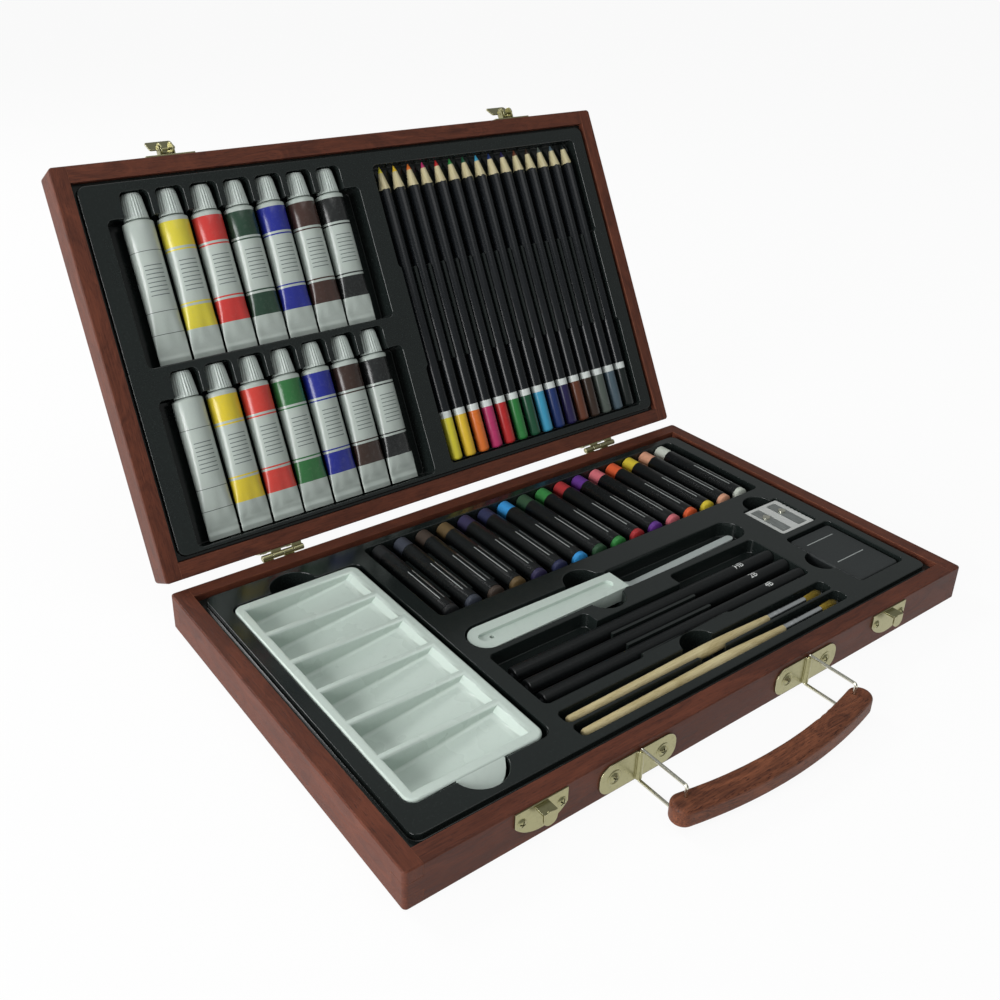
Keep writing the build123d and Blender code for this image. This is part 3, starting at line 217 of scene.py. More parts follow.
def ink(code):
    """Linear colour of a hex code."""
    parts = [int(code[i:i + 2], 16) / 255 for i in (0, 2, 4)]
    return tuple(p / 12.92 if p <= 0.04045 else ((p + 0.055) / 1.055) ** 2.4 for p in parts) + (1.0,)


def name_sockets(made, way, labels):
    """Gives a tree its inputs or outputs; each has a kind, or a start value of that kind."""
    for label, value in labels.items():
        kind = {int: "Int", float: "Float"}.get(type(value), value)
        socket = made.interface.new_socket(label, in_out=way, socket_type="NodeSocket" + kind)
        if kind != value:
            socket.default_value = value


def start_group(name, inputs, outputs):
    """A shader node group with its named inputs and outputs."""
    made = bpy.data.node_groups.new(name, "ShaderNodeTree")
    name_sockets(made, "INPUT", inputs)
    name_sockets(made, "OUTPUT", outputs)
    return made, add(made, "NodeGroupInput").outputs, add(made, "NodeGroupOutput")


def object_place(tree):
    """Object coordinates, in metres."""
    return add(tree, "ShaderNodeTexCoord").outputs["Object"]


def attribute(tree, name, output="Fac"):
    """A named attribute, as a value or as a vector."""
    return add(tree, "ShaderNodeAttribute", attribute_name=name).outputs[output]


def combine(tree, operation, *vectors):
    """Output of one Vector Math node."""
    return add(tree, "ShaderNodeVectorMath", dict(enumerate(vectors)), operation=operation).outputs[0]


def stretch(tree, vector, by):
    """A vector multiplied along each axis, or by one value along all."""
    return combine(tree, "MULTIPLY", vector, by)


def noise(tree, vector, scale, detail=3.0, rough=0.5, output="Fac"):
    """A noise pattern, as a value or as a colour."""
    return add(tree, "ShaderNodeTexNoise", {"Vector": vector, "Scale": scale, "Detail": detail,
                                            "Roughness": rough}).outputs[output]


def mixed(tree, share, off, on):
    """One colour where the share is 0, another where it is 1, and a blend of both in between."""
    feeds = {"Factor": share, "A": off, "B": on}
    return add(tree, "ShaderNodeMix", feeds, data_type="RGBA").outputs["Result"]


wood_figure, given, gives = start_group("wood_figure", {
    "Vector": "Vector", "Dark": "Color", "Light": "Color", "Band scale": 1.0, "Pore depth": 0.5},
    {"Color": "Color", "Height": "Float", "Roughness": "Float"})
tree = wood_figure
band_run, wander_run, fine_run, pore_run = (9, 110, 110), (14, 40, 40), (60, 1500, 1500), (260, 3200, 3200)
wander = noise(tree, stretch(tree, given["Vector"], wander_run), 1.0, 2.0, output="Color")
bent = combine(tree, "MULTIPLY_ADD", stretch(tree, given["Vector"], band_run), wander, (2.4, 2.4, 2.4))
bands = noise(tree, bent, given["Band scale"], 4.0, 0.6)
fine = noise(tree, stretch(tree, given["Vector"], fine_run), 1.0, 2.0)
pores = span(tree, noise(tree, stretch(tree, given["Vector"], pore_run), 1.0, 1.0), 0.60, 0.70)
tone = calc(tree, "ADD", times(tree, bands, 0.72), times(tree, fine, 0.42))
tone = calc(tree, "SUBTRACT", span(tree, tone, 0.36, 0.80), times(tree, pores, given["Pore depth"]))
feed(tree, gives, {"Color": mixed(tree, tone, given["Dark"], given["Light"]),
                   "Height": calc(tree, "SUBTRACT", fine, pores),
                   "Roughness": calc(tree, "MULTIPLY_ADD", fine, 0.22, 0.40)})

edge_wear, given, gives = start_group("edge_wear", {
    "Color": "Color", "Worn color": "Color", "Amount": 0.5, "Patch scale": 300.0}, {"Color": "Color"})
tree = edge_wear
patches = span(tree, noise(tree, object_place(tree), given["Patch scale"]), 0.35, 0.62, 0.25, 1.0)
rub = times(tree, attribute(tree, "edge"), patches, given["Amount"])
feed(tree, gives, {"Color": mixed(tree, rub, given["Color"], given["Worn color"])})


def rubbed(tree, colour, worn, amount, patch_scale):
    """A colour that is worn towards another on the rounded edges."""
    feeds = {"Color": colour, "Worn color": worn, "Amount": amount, "Patch scale": patch_scale}
    return add(tree, "ShaderNodeGroup", feeds, node_tree=edge_wear).outputs["Color"]


def paint(tree, shader, colour, roughness, metallic=0.0, gloss=0.5):
    """Gives a shader its colour and roughness, and sets how metallic and how glossy it is."""
    feed(tree, shader, {"Base Color": colour, "Roughness": roughness, "Metallic": metallic,
                        "Specular IOR Level": gloss})


def bump(tree, shader, height, distance, strength):
    """Feeds a height through a Bump node to a shader's normal."""
    made = add(tree, "ShaderNodeBump", {"Height": height, "Distance": distance, "Strength": strength})
    feed(tree, shader, {"Normal": made.outputs[0]})


def wood(name, dark, light, turn=(0, 0, 0), band=1.0, pore=0.5, worn=None, gloss=0.22):
    """Stained or clear wood with its grain along local X after the given turn."""
    material, tree, shader = start_material(name)
    laid = add(tree, "ShaderNodeMapping", {"Vector": object_place(tree), "Rotation": turn})
    feeds = {"Vector": laid.outputs[0], "Dark": dark, "Light": light, "Band scale": band, "Pore depth": pore}
    figure = add(tree, "ShaderNodeGroup", feeds, node_tree=wood_figure).outputs
    colour = rubbed(tree, figure["Color"], worn, 0.55, 260.0) if worn else figure["Color"]
    paint(tree, shader, colour, figure["Roughness"], gloss=gloss)
    bump(tree, shader, figure["Height"], 0.00006, 0.5)
    return material


stain_dark, stain_light, stain_worn = ink("43231a"), ink("6b3a29"), ink("9c6244")
halves = (("base", in_base, 0), ("lid", in_lid, lid_angle))
for half, place, lean in halves:
    for run, turn, walls in (("long", (lean, 0, 0), ("front", "back")),
                             ("side", (lean, 0, quarter_turn), ("left", "right"))):
        stained = wood(f"stained_wood_{half}_{run}", stain_dark, stain_light, turn, worn=stain_worn)
        for wall in walls:
            dressed(f"{half}_{wall}_wall", half, stained, all_edges(0.16), place)


# Panels of the base and the lid: thin plywood let into a rebate round the walls and stained
# to match them; they show on the underside and on the outside of the lid.
for half, place, lean in halves:
    ply = wood("stained_ply_" + half, ink("522a1f"), ink("84493a"), (lean, 0, 0), band=0.6, gloss=0.2)
    dressed(half + "_panel", half, ply, all_edges(0.2), place)


# Formed trays: black plastic sheet 0.8 mm thick, vacuum-formed over a mould, so its pockets
# have soft rims and rounded floors and its gloss shows a faint waviness and dust.
rim_drop, tray_rim, tray_floor_edge, least_depth = 0.6, 0.5, 0.6, 2.5

handling, given, gives = start_group("handling", {
    "Color": "Color", "Dust color": "Color", "Dust": 0.1, "Scale": 400.0, "Roughness": 0.3, "Spread": 0.2},
    {"Color": "Color", "Roughness": "Float", "Height": "Float"})
tree = handling
cloud = noise(tree, object_place(tree), 18.0, 4.0, 0.6)
specks = noise(tree, object_place(tree), given["Scale"], 4.0, 0.7)
film = calc(tree, "MULTIPLY_ADD", cloud, 0.5, span(tree, specks, 0.52, 0.78))
film = times(tree, film, given["Dust"])
spread = times(tree, calc(tree, "SUBTRACT", cloud, 0.5), given["Spread"])
feed(tree, gives, {"Color": mixed(tree, film, given["Color"], given["Dust color"]),
                   "Roughness": calc(tree, "ADD", spread, given["Roughness"]),
                   "Height": calc(tree, "MULTIPLY_ADD", specks, 0.12, cloud)})


def handled(tree, shader, colour, dust_colour, dust, scale, rough, spread, waves=0.0, strength=0.4,
            worn=None, worn_by=0.0, **looks):
    """Paints a shader with a colour under dust and an uneven gloss, with waves and worn edges if asked."""
    feeds = {"Color": colour, "Dust color": ink(dust_colour), "Dust": dust, "Scale": scale,
             "Roughness": rough, "Spread": spread}
    used = add(tree, "ShaderNodeGroup", feeds, node_tree=handling).outputs
    shown = rubbed(tree, used["Color"], ink(worn), worn_by, 500.0) if worn else used["Color"]
    paint(tree, shader, shown, used["Roughness"], **looks)
    if waves:
        bump(tree, shader, used["Height"], waves, strength)


def moulded(name, colour, *dust_and_gloss, **looks):
    """A plain material of one colour, with dust and an uneven gloss."""
    material, tree, shader = start_material(name)
    handled(tree, shader, ink(colour), *dust_and_gloss, **looks)
    return material


def rims(level, slack):
    """Picks the outer edges that lie at one level."""
    return lambda a, b, convex: convex and abs(a.z - level) < slack and abs(b.z - level) < slack


def floors(level, way=1, slope=math.inf):
    """Picks the inner edges that lie well below a level and rise by less than the slope."""
    def picks(a, b, convex):
        deep = way * (level - a.z) > least_depth and way * (level - b.z) > least_depth
        return deep and not convex and abs(a.z - b.z) < slope
    return picks


tray_plastic = moulded("tray_plastic", "161b1a", "65716e", 0.06, 900.0, 0.13, 0.08, 0.0005, gloss=0.42)
for half, way, place in (("base", 1, in_base), ("lid", -1, in_lid)):
    level = base_height - way * rim_drop
    dressed(half + "_tray", half, tray_plastic,
            [(tray_rim, 3, rims(level, 0.02)), (tray_floor_edge, 3, floors(level, way, 0.02))], place,
            weld=0.1, clamp=False)


# Hinges: two pressed steel leaves each, rolled round a pin and brassed; they are screwed to
# the back edges of the base and the lid.
brassed = moulded("brassed_steel", "a6a27b", "5a563c", 0.35, 700.0, 0.30, 0.25, 0.0004, 0.3,
                  worn="e0dcbc", worn_by=0.7, metallic=1.0)


def brass(node, body, width, place=in_base):
    """Finishes a pressed and brassed piece, with all its edges rounded."""
    dressed(node, body, brassed, all_edges(width), place)


for side in ("left", "right"):
    brass(f"hinge_{side}_base_leaf", "base", 0.12)
    brass(f"hinge_{side}_lid_leaf", "lid", 0.12, in_lid)
    brass(f"hinge_{side}_pin", "base", 0.15)


# Wood screws: domed heads with a cross recess, brassed, four in each group; they hold the
# hinge leaves, catch plates, latch plates and handle brackets.
head_radius, head_height, head_edge, head_steps, head_sides = 2.35, 1.1, 0.08, 6, 32
shank_radius, shank_length, shank_tip = 1.1, 7.5, 2.4
recess_length, recess_width, recess_depth = 2.9, 0.62, 0.75
half_turn = math.pi


def turned(name, profile, sides):
    """A closed piece turned about +Y from (distance, radius) pairs in mm, which keeps its distances."""
    shape = bmesh.new()
    layer = shape.verts.layers.float.new("along")
    rings = []
    for distance, radius in profile:
        count = sides if radius > 0 else 1
        ring = []
        for step in range(count):
            angle = 2 * math.pi * step / sides
            vert = shape.verts.new((radius * math.cos(angle), distance, radius * math.sin(angle)))
            vert[layer] = distance
            ring.append(vert)
        rings.append(ring)
    return skinned(name, shape, rings, sides)


def skinned(name, shape, rings, sides):
    """Closes a shape over its rings and links it as the object that a row or a group repeats."""
    for low, high in zip(rings, rings[1:]):
        for step in range(sides):
            corners = [low[step % len(low)], low[(step + 1) % len(low)],
                       high[(step + 1) % len(high)], high[step % len(high)]]
            shape.faces.new(list(dict.fromkeys(corners)))
    for ring in (rings[0], rings[-1]):
        if len(ring) > 1:
            shape.faces.new(ring)
    bmesh.ops.recalc_face_normals(shape, faces=shape.faces)
    mesh = bpy.data.meshes.new(name)
    shape.to_mesh(mesh)
    shape.free()
    return linked(name, mesh)


def start_tree(name, inputs):
    """A geometry tree with named inputs, ending in Realize Instances and Set Material."""
    made = bpy.data.node_groups.new(name, "GeometryNodeTree")
    name_sockets(made, "OUTPUT", {"Geometry": "Geometry"})
    name_sockets(made, "INPUT", dict(inputs, Material="Material"))
    given = add(made, "NodeGroupInput").outputs
    real = add(made, "GeometryNodeRealizeInstances")
    feeds = {"Geometry": real.outputs[0], "Material": given["Material"]}
    painted = add(made, "GeometryNodeSetMaterial", feeds)
    add(made, "NodeGroupOutput", {"Geometry": painted.outputs[0]})
    return made, given, real.inputs[0]


def grown(name, tree, values, place):
    """The mesh that a geometry tree makes, put in its place on the box."""
    host = linked(name, bpy.data.meshes.new(name))
    work = host.modifiers.new("work", "NODES")
    work.node_group = tree
    for item in tree.interface.items_tree:
        if item.in_out == "INPUT" and item.name in values:
            work[item.identifier] = values[item.name]
    bpy.context.view_layer.update()
    graph = bpy.context.evaluated_depsgraph_get()
    mesh = bpy.data.meshes.new_from_object(host.evaluated_get(graph), preserve_all_data_layers=True,
                                           depsgraph=graph)
    mesh.transform(place)
    bpy.data.objects.remove(host)
    return mesh


def vector(tree, x=0.0, y=0.0, z=0.0):
    """A vector put together from three values."""
    return add(tree, "ShaderNodeCombineXYZ", {0: x, 1: y, 2: z}).outputs[0]


def moved(tree, geometry, **how):
    """Geometry with a Translation, a Rotation or a Scale."""
    return add(tree, "GeometryNodeTransform", dict(how, Geometry=geometry)).outputs[0]


def repeated(tree, **how):
    """Instances of a piece on points."""
    return add(tree, "GeometryNodeInstanceOnPoints", how).outputs[0]


def random_value(tree, given, low, high):
    """A random value for each point, from the given seed."""
    feeds = {2: low, 3: high, "Seed": given["Seed"]}
    return add(tree, "FunctionNodeRandomValue", feeds, data_type="FLOAT").outputs[1]


def four_places(tree, given):
    """Two points set apart along a line, and the same two again further across."""
    pair = add(tree, "GeometryNodeMeshLine", {"Count": 2, "Start Location": given["First"],
                                              "Offset": given["Along"]}).outputs[0]
    places = add(tree, "GeometryNodeJoinGeometry")
    for part in (pair, moved(tree, pair, Translation=given["Across"])):
        tree.links.new(part, places.inputs[0])
    return places.outputs[0]


def spun(tree, given, low, high):
    """The given turn and a random turn about Y."""
    return combine(tree, "ADD", vector(tree, y=random_value(tree, given, low, high)), given["Turn"])


screw_tree, given, result = start_tree("wood_screws", {
    "Head": "Object", "First": "Vector", "Along": "Vector", "Across": "Vector", "Turn": "Vector",
    "Recess length": recess_length, "Recess width": recess_width, "Recess depth": recess_depth,
    "Head height": head_height, "Seed": 3})
tree = screw_tree
blank = add(tree, "GeometryNodeObjectInfo", {"Object": given["Head"]})
deep = times(tree, given["Recess depth"], 2.0)
cross = add(tree, "GeometryNodeMeshBoolean", operation="UNION")
for x, z in (("Recess length", "Recess width"), ("Recess width", "Recess length")):
    bar = add(tree, "GeometryNodeMeshCube", {"Size": vector(tree, given[x], deep, given[z])})
    raised = moved(tree, bar.outputs[0], Translation=vector(tree, y=given["Head height"]))
    feed(tree, cross, {"Mesh 2": raised})
cut = add(tree, "GeometryNodeMeshBoolean", {"Mesh 1": blank.outputs["Geometry"], "Mesh 2": cross.outputs[0]},
          operation="DIFFERENCE")
driven = repeated(tree, Points=four_places(tree, given), Instance=cut.outputs[0],
                  Rotation=spun(tree, given, 0.0, 1.5))
tree.links.new(driven, result)

head_ball = (head_radius ** 2 + head_height ** 2) / (2 * head_height)
dome = []
for step in range(head_steps):
    lean = math.asin(head_radius / head_ball) * (1 - step / head_steps)
    dome.append((head_height - head_ball + head_ball * math.cos(lean), head_ball * math.sin(lean)))
shank = [(-shank_length, 0.0), (shank_tip - shank_length, shank_radius), (0.0, shank_radius)]
screw_head = turned("screw_blank", shank + [(0.0, head_radius - head_edge)] + dome + [(head_height, 0.0)],
                    head_sides)
latch_x, catch_gap, catch_drop, plate_seat = 63.0, 20.0, 6.8, 0.8
bracket_x, bracket_span, bracket_gap, bracket_z = 115.2, 108.4, 27.6, 9.1
hinge_gap, hinge_drop = 14.0, 8.0
latch_span = case_width - 2 * latch_x
for name, body, place, x, y, z, gap, across, turn in (
        ("hinge_base", "base", in_base, latch_x, case_depth + plate_seat, base_height - hinge_drop,
         hinge_gap, latch_span, 0),
        ("hinge_lid", "lid", in_lid, latch_x, case_depth + plate_seat, base_height + hinge_drop,
         hinge_gap, latch_span, 0),
        ("catch", "base", in_base, latch_x, -plate_seat, base_height - catch_drop,
         catch_gap, latch_span, half_turn),
        ("latch", "lid", in_lid, latch_x, -plate_seat, base_height + catch_drop,
         catch_gap, latch_span, half_turn),
        ("handle", "base", in_base, bracket_x, -plate_seat, bracket_z, bracket_gap, bracket_span, half_turn)):
    name = name + "_screws"
    mesh = grown(name, screw_tree, {"Head": screw_head, "First": (x - gap / 2, y, z), "Along": (gap, 0, 0),
                                    "Across": (across, 0, 0), "Turn": (0, 0, turn), "Material": brassed,
                                    "Seed": len(name)}, place)
    finish_piece(name + "_heads", mesh, brassed, body, [name], 30)
bpy.data.objects.remove(screw_head)


# Catches and latches: pressed and brassed plates with rounded ends. The base plate carries a
# hook, and the lid plate has two ears, a pin and the flap that closes over the hook.
for side in ("left", "right"):
    brass("catch_plate_" + side, "base", 0.15)
    brass("latch_plate_" + side, "lid", 0.12, in_lid)
    brass("latch_pin_" + side, "lid", 0.15, in_lid)
    brass("latch_flap_" + side, "latch_flap_" + side, 0.15, in_lid)


# Carrying handle: two brassed brackets screwed to the front, each holding a wire bail in its
# raised channel, and a bowed hardwood grip, drilled at both ends for the wires.
bright_steel = moulded("bright_steel", "dcdacb", "8a8775", 0.2, 900.0, 0.22, 0.15, metallic=1.0)
for side in ("left", "right"):
    brass("handle_bracket_" + side, "base", 0.12)
    dressed("handle_bail_" + side, "handle_bail_" + side, bright_steel, all_edges(0.1))

dimple_radius, dimple_width, dimple_height = 3.3, 0.55, 0.3
dimple_tree, given, result = start_tree("bracket_dimples", {
    "Radius": dimple_radius, "Width": dimple_width, "Height": dimple_height,
    "First": "Vector", "Along": "Vector", "Across": "Vector"})
tree = dimple_tree
track, bead = (add(tree, "GeometryNodeCurvePrimitiveCircle", {"Resolution": steps, "Radius": given[size]})
               for steps, size in ((40, "Radius"), (8, "Width")))
ring = add(tree, "GeometryNodeCurveToMesh", {"Curve": track.outputs[0], "Profile Curve": bead.outputs[0]})
flat = vector(tree, 1.0, calc(tree, "DIVIDE", given["Height"], given["Width"]), 1.0)
pressed = moved(tree, moved(tree, ring.outputs[0], Rotation=(quarter_turn, 0, 0)), Scale=flat)
tree.links.new(repeated(tree, Points=four_places(tree, given), Instance=pressed), result)
mesh = grown("bracket_dimples", dimple_tree, {
    "First": (bracket_x - bracket_gap / 2, -plate_seat, bracket_z), "Along": (bracket_gap, 0, 0),
    "Across": (bracket_span, 0, 0), "Material": brassed}, in_base)
finish_piece("bracket_dimples", mesh, brassed, "base", [], 60)

grip_wood = wood("grip_wood", ink("3c1f16"), ink("8a5339"), band=1.3, pore=0.8, worn=ink("a06a47"), gloss=0.2)
dressed("handle_grip", "handle_grip", grip_wood, all_edges(0.12), corner=50)


# Palette: thin white moulded plastic with a round rim, six wells that grow shallower to the
# right and a lifting tab over the front recess; it is loose in its pocket.
palette_top, palette_rim, palette_floor_edge = base_height - 0.4, 1.2, 1.8
palette_plastic = moulded("palette_plastic", "c6d3cb", "a3aea7", 0.18, 260.0, 0.27, 0.1, 0.0002)
dressed("palette", "palette", palette_plastic,
        [(palette_rim, 4, rims(palette_top, 0.05)), (palette_floor_edge, 4, floors(palette_top))],
        weld=0.3, corner=50, clamp=False)


# Palette knife: one moulding of white plastic for the handle, with a sunk channel and a
# hanging hole, and a thin cranked blade of translucent grey plastic.
knife_blade_plastic = moulded("knife_blade_plastic", "aab2b0", "7f8886", 0.2, 300.0, 0.3, 0.1, 0.0002)
dressed("palette_knife_handle", "palette_knife", palette_plastic, all_edges(0.45, 3),
        weld=0.05, corner=50)
dressed("palette_knife_blade", "palette_knife", knife_blade_plastic, all_edges(0.15),
        weld=0.05)


# Oil pastels: sixteen turned sticks of wax, each in a black paper wrapper with two plain pale
# rules that leaves its colour bare at both ends; they lie in one bed between low ridges.
pastel_count, pastel_pitch, pastel_first_x, pastel_front_y, pastel_sides = 16, 14.1, 108.7, 124.15, 40
pastel_length, pastel_radius, bare_front, bare_back = 69.4, 4.95, 3.0, 9.5
wrapper_wall, wrapper_gap, wrapper_lip, stick_edge = 0.02, 0.35, 0.15, 0.9
pastel_drop, any_roll = 0.45, 3.0
pastel_z = base_height - pastel_drop - pastel_radius
rule_in, rule_out, rule_start, rule_stop = 1.05, 1.5, 9.0, 38.0

row_tree, given, result = start_tree("laid_row", {
    "Piece": "Object", "Count": 1, "First": "Vector", "Pitch": "Vector", "Turn": "Vector", "Roll": 0.0,
    "First number": 0, "Seed": 1})
tree = row_tree
piece = add(tree, "GeometryNodeObjectInfo", {"Object": given["Piece"]})
places = add(tree, "GeometryNodeMeshLine", {"Count": given["Count"], "Start Location": given["First"],
                                            "Offset": given["Pitch"]})
laid = repeated(tree, Points=places.outputs[0], Instance=piece.outputs["Geometry"],
                Rotation=spun(tree, given, times(tree, given["Roll"], -1.0), given["Roll"]))
order = calc(tree, "ADD", add(tree, "GeometryNodeInputIndex").outputs[0], given["First number"])
named = add(tree, "GeometryNodeStoreNamedAttribute", {"Geometry": laid, "Name": "number", "Value": order},
            data_type="FLOAT", domain="INSTANCE")
tree.links.new(named.outputs[0], result)


def by_number(tree, codes):
    """The colour of each piece in a row, from its number."""
    part = calc(tree, "DIVIDE", calc(tree, "ADD", attribute(tree, "number"), 0.5), float(len(codes)))
    ramp = add(tree, "ShaderNodeValToRGB", {0: part})
    ramp.color_ramp.interpolation = "CONSTANT"
    while len(ramp.color_ramp.elements) < len(codes):
        ramp.color_ramp.elements.new(1.0)
    for step, code in enumerate(codes):
        ramp.color_ramp.elements[step].position = step / len(codes)
        ramp.color_ramp.elements[step].color = ink(code)
    return ramp.outputs[0]


def between(tree, value, low, high):
    """1 where a value lies between two limits."""
    return times(tree, calc(tree, "GREATER_THAN", value, low), calc(tree, "LESS_THAN", value, high))


pastel_colours = ("17191b 363b46 3d322a 5e4b2c 2c2749 23284a 2f8fd0 27492f "
                  "2f7d3a a5282c 5d2a86 cf6b74 d95a2b d6bf32 d69c7e c9cfc4").split()
wax, tree, shader = start_material("pastel_wax")
handled(tree, shader, by_number(tree, pastel_colours), "2a2a2a", 0.25, 500.0, 0.5, 0.2, 0.0006, 0.5)
wax_radius = pastel_radius - 0.3
stick = turned("pastel_stick", [
    (0.0, 0.0), (0.0, pastel_radius - stick_edge), (0.5, wax_radius), (pastel_length - 0.6, wax_radius),
    (pastel_length, pastel_radius - stick_edge), (pastel_length, 0.0)], pastel_sides)

label_paper, tree, shader = start_material("pastel_paper")
spot = split(tree, object_place(tree))
centre = calc(tree, "MULTIPLY_ADD", attribute(tree, "number"), pastel_pitch, pastel_first_x - case_width / 2)
across = calc(tree, "SUBTRACT", calc(tree, "DIVIDE", spot[0], MM), centre)
rules = between(tree, calc(tree, "ABSOLUTE", across), rule_in, rule_out)
rules = times(tree, rules, between(tree, attribute(tree, "along"), rule_start, rule_stop),
              calc(tree, "GREATER_THAN", spot[2], pastel_z * MM))
handled(tree, shader, mixed(tree, rules, ink("101213"), ink("9da2a0")), "5c6260", 0.08, 800.0, 0.28, 0.2,
        0.0008, 0.5, gloss=0.3)
paper_end = pastel_length - bare_back
wrapper = turned("pastel_wrapper", [
    (bare_front, pastel_radius - wrapper_gap), (bare_front, pastel_radius - wrapper_wall),
    (bare_front + wrapper_lip, pastel_radius), (paper_end - wrapper_lip, pastel_radius),
    (paper_end, pastel_radius - wrapper_wall), (paper_end, pastel_radius - wrapper_gap)], pastel_sides)

for node, name, shape, material, slot in (
        ("pastel_sticks", "pastel_wax_sticks", stick, wax, "pastel_colour"),
        ("pastel_wrappers", "pastel_paper_wrappers", wrapper, label_paper, "black_paper")):
    mesh = grown(node, row_tree, {
        "Piece": shape, "Material": material, "Count": pastel_count, "Roll": any_roll, "Seed": 5,
        "First": (pastel_first_x, pastel_front_y, pastel_z), "Pitch": (pastel_pitch, 0, 0)}, in_base)
    finish_piece(name, mesh, material, "pastels", [node], 40)
    bpy.data.objects.remove(shape)


# Graphite pencils: three round cedar barrels in black lacquer, uncut at both ends, with the
# lead showing in the end and the grade printed in silver.
pencil_radius, lead_radius, pencil_edge, graphite_sides = 3.6, 1.1, (0.3, 0.35), 40
graphite_length, graphite_end_x, graphite_y, graphite_pitch, graphite_drop = 176.3, 279.4, 48.53, 10.45, 1.0
graphite_z = base_height - graphite_drop - pencil_radius
grades, grade_height, grade_x, grade_middle, grade_lift = ("4B", "2B", "HB"), 4.8, 251.0, 0.36, 0.03
graphite_coat, tree, shader = start_material("graphite_pencil_lacquer")
lead_face = calc(tree, "GREATER_THAN", attribute(tree, "core"), 0.5)
handled(tree, shader, mixed(tree, lead_face, ink("0f1112"), ink("4a4c4f")), "5a6060", 0.08, 900.0, 0.38, 0.15,
        0.0003, 0.4, gloss=0.25)
end_radius, far_edge = pencil_radius - pencil_edge[1], graphite_length - pencil_edge[0]
barrel = turned("graphite_barrel", [
    (0.0, 0.0), (0.0, lead_radius), (0.0, end_radius), (pencil_edge[0], pencil_radius),
    (far_edge, pencil_radius), (graphite_length, end_radius), (graphite_length, lead_radius),
    (graphite_length, 0.0)], graphite_sides)
core = barrel.data.attributes.new("core", "FLOAT", "FACE")
for face in barrel.data.polygons:
    corners = (barrel.data.vertices[number].co for number in face.vertices)
    reach = max(math.hypot(corner.x, corner.z) for corner in corners)
    core.data[face.index].value = 1.0 if reach < (lead_radius + end_radius) / 2 else 0.0
mesh = grown("graphite_pencil_barrels", row_tree, {
    "Piece": barrel, "Material": graphite_coat, "Count": len(grades), "Roll": any_roll,
    "Turn": (0, 0, -quarter_turn), "Pitch": (0, graphite_pitch, 0),
    "First": (graphite_end_x - graphite_length, graphite_y, graphite_z)}, in_base)
finish_piece("graphite_pencils_lacquered", mesh, graphite_coat, "graphite_pencils",
             ["graphite_pencil_barrels", "graphite_pencil_leads"], 40)
bpy.data.objects.remove(barrel)

silver_print = moulded("silver_print", "e2e5e3", "8f9391", 0.2, 2500.0, 0.4, 0.2)
for number, grade in enumerate(grades):
    mark = linked("mark", bpy.data.curves.new("mark", "FONT"))
    mark.data.body = grade
    mark.data.size = grade_height
    mark.data.resolution_u = 3
    bpy.context.view_layer.update()
    flat_mark = bpy.data.meshes.new_from_object(mark.evaluated_get(bpy.context.evaluated_depsgraph_get()))
    bpy.data.objects.remove(mark)
    cut_mark = bmesh.new()
    cut_mark.from_mesh(flat_mark)
    bmesh.ops.triangulate(cut_mark, faces=cut_mark.faces)
    bmesh.ops.subdivide_edges(cut_mark, edges=cut_mark.edges, cuts=2, use_grid_fill=True)
    y, reach = graphite_y + number * graphite_pitch, pencil_radius + grade_lift
    for vert in cut_mark.verts:
        turn = (vert.co.y - grade_middle * grade_height) / pencil_radius
        vert.co = (grade_x + vert.co.x, y + reach * math.sin(turn), graphite_z + reach * math.cos(turn))
    cut_mark.transform(in_base)
    bmesh.ops.recalc_face_normals(cut_mark, faces=cut_mark.faces)
    mesh = bpy.data.meshes.new("grade_" + grade)
    cut_mark.to_mesh(mesh)
    cut_mark.free()
    finish_piece("grade_mark_" + grade, mesh, silver_print, "graphite_pencils", [])


# Brushes: turned handles of clear-varnished wood, aluminium ferrules crimped on with two
# rings, and yellow hair that spreads a little from the ferrule.
brush_x0, brush_y, brush_drop, brush_sides = 102.8, (31.0, 21.1), 3.9, 36
ferrule_end, hair_length, hair_over, hair_sunk = 157.5, 14.0, 0.6, 1.0
hair_count, packed_radius, hair_flare, hair_radius, hair_tip = 320, 1.5, 0.8, 0.06, 0.012
hair_stray, hair_taper, hair_trim = 0.6, 0.26, 0.16
handle_profile = [(0, 0.0), (0, 1.1), (0.5, 1.7), (1.6, 2.0), (40, 2.4), (72, 2.85), (85, 3.0), (94, 2.95),
                  (110, 2.5), (124, 2.0), (130, 1.8), (130, 1.5), (135, 1.5), (135, 0.0)]
ferrule_profile = [(129.6, 1.62), (129.6, 1.92), (134.9, 1.88), (135.3, 1.96), (136.1, 1.96), (136.5, 1.87),
                   (137.9, 1.87), (138.3, 1.95), (139.1, 1.95), (139.5, 1.86), (150, 1.82),
                   (ferrule_end, 1.80), (ferrule_end, 1.62)]
pale_wood = wood("brush_wood", ink("a39163"), ink("d2c59a"), band=1.6, pore=0.35, gloss=0.3)
ferrule_metal = moulded("ferrule_metal", "d5d8da", "8b8e90", 0.3, 900.0, 0.25, 0.15, metallic=1.0)
hair, tree, shader = start_material("brush_hair")
strand = noise(tree, stretch(tree, object_place(tree), (60, 5000, 5000)), 1.0, 2.0)
tips = times(tree, attribute(tree, "tip"), 0.6)
colour = mixed(tree, tips, mixed(tree, strand, ink("8a6c16"), ink("dcc04a")), ink("3b2f12"))
paint(tree, shader, colour, calc(tree, "MULTIPLY_ADD", strand, 0.2, 0.35))

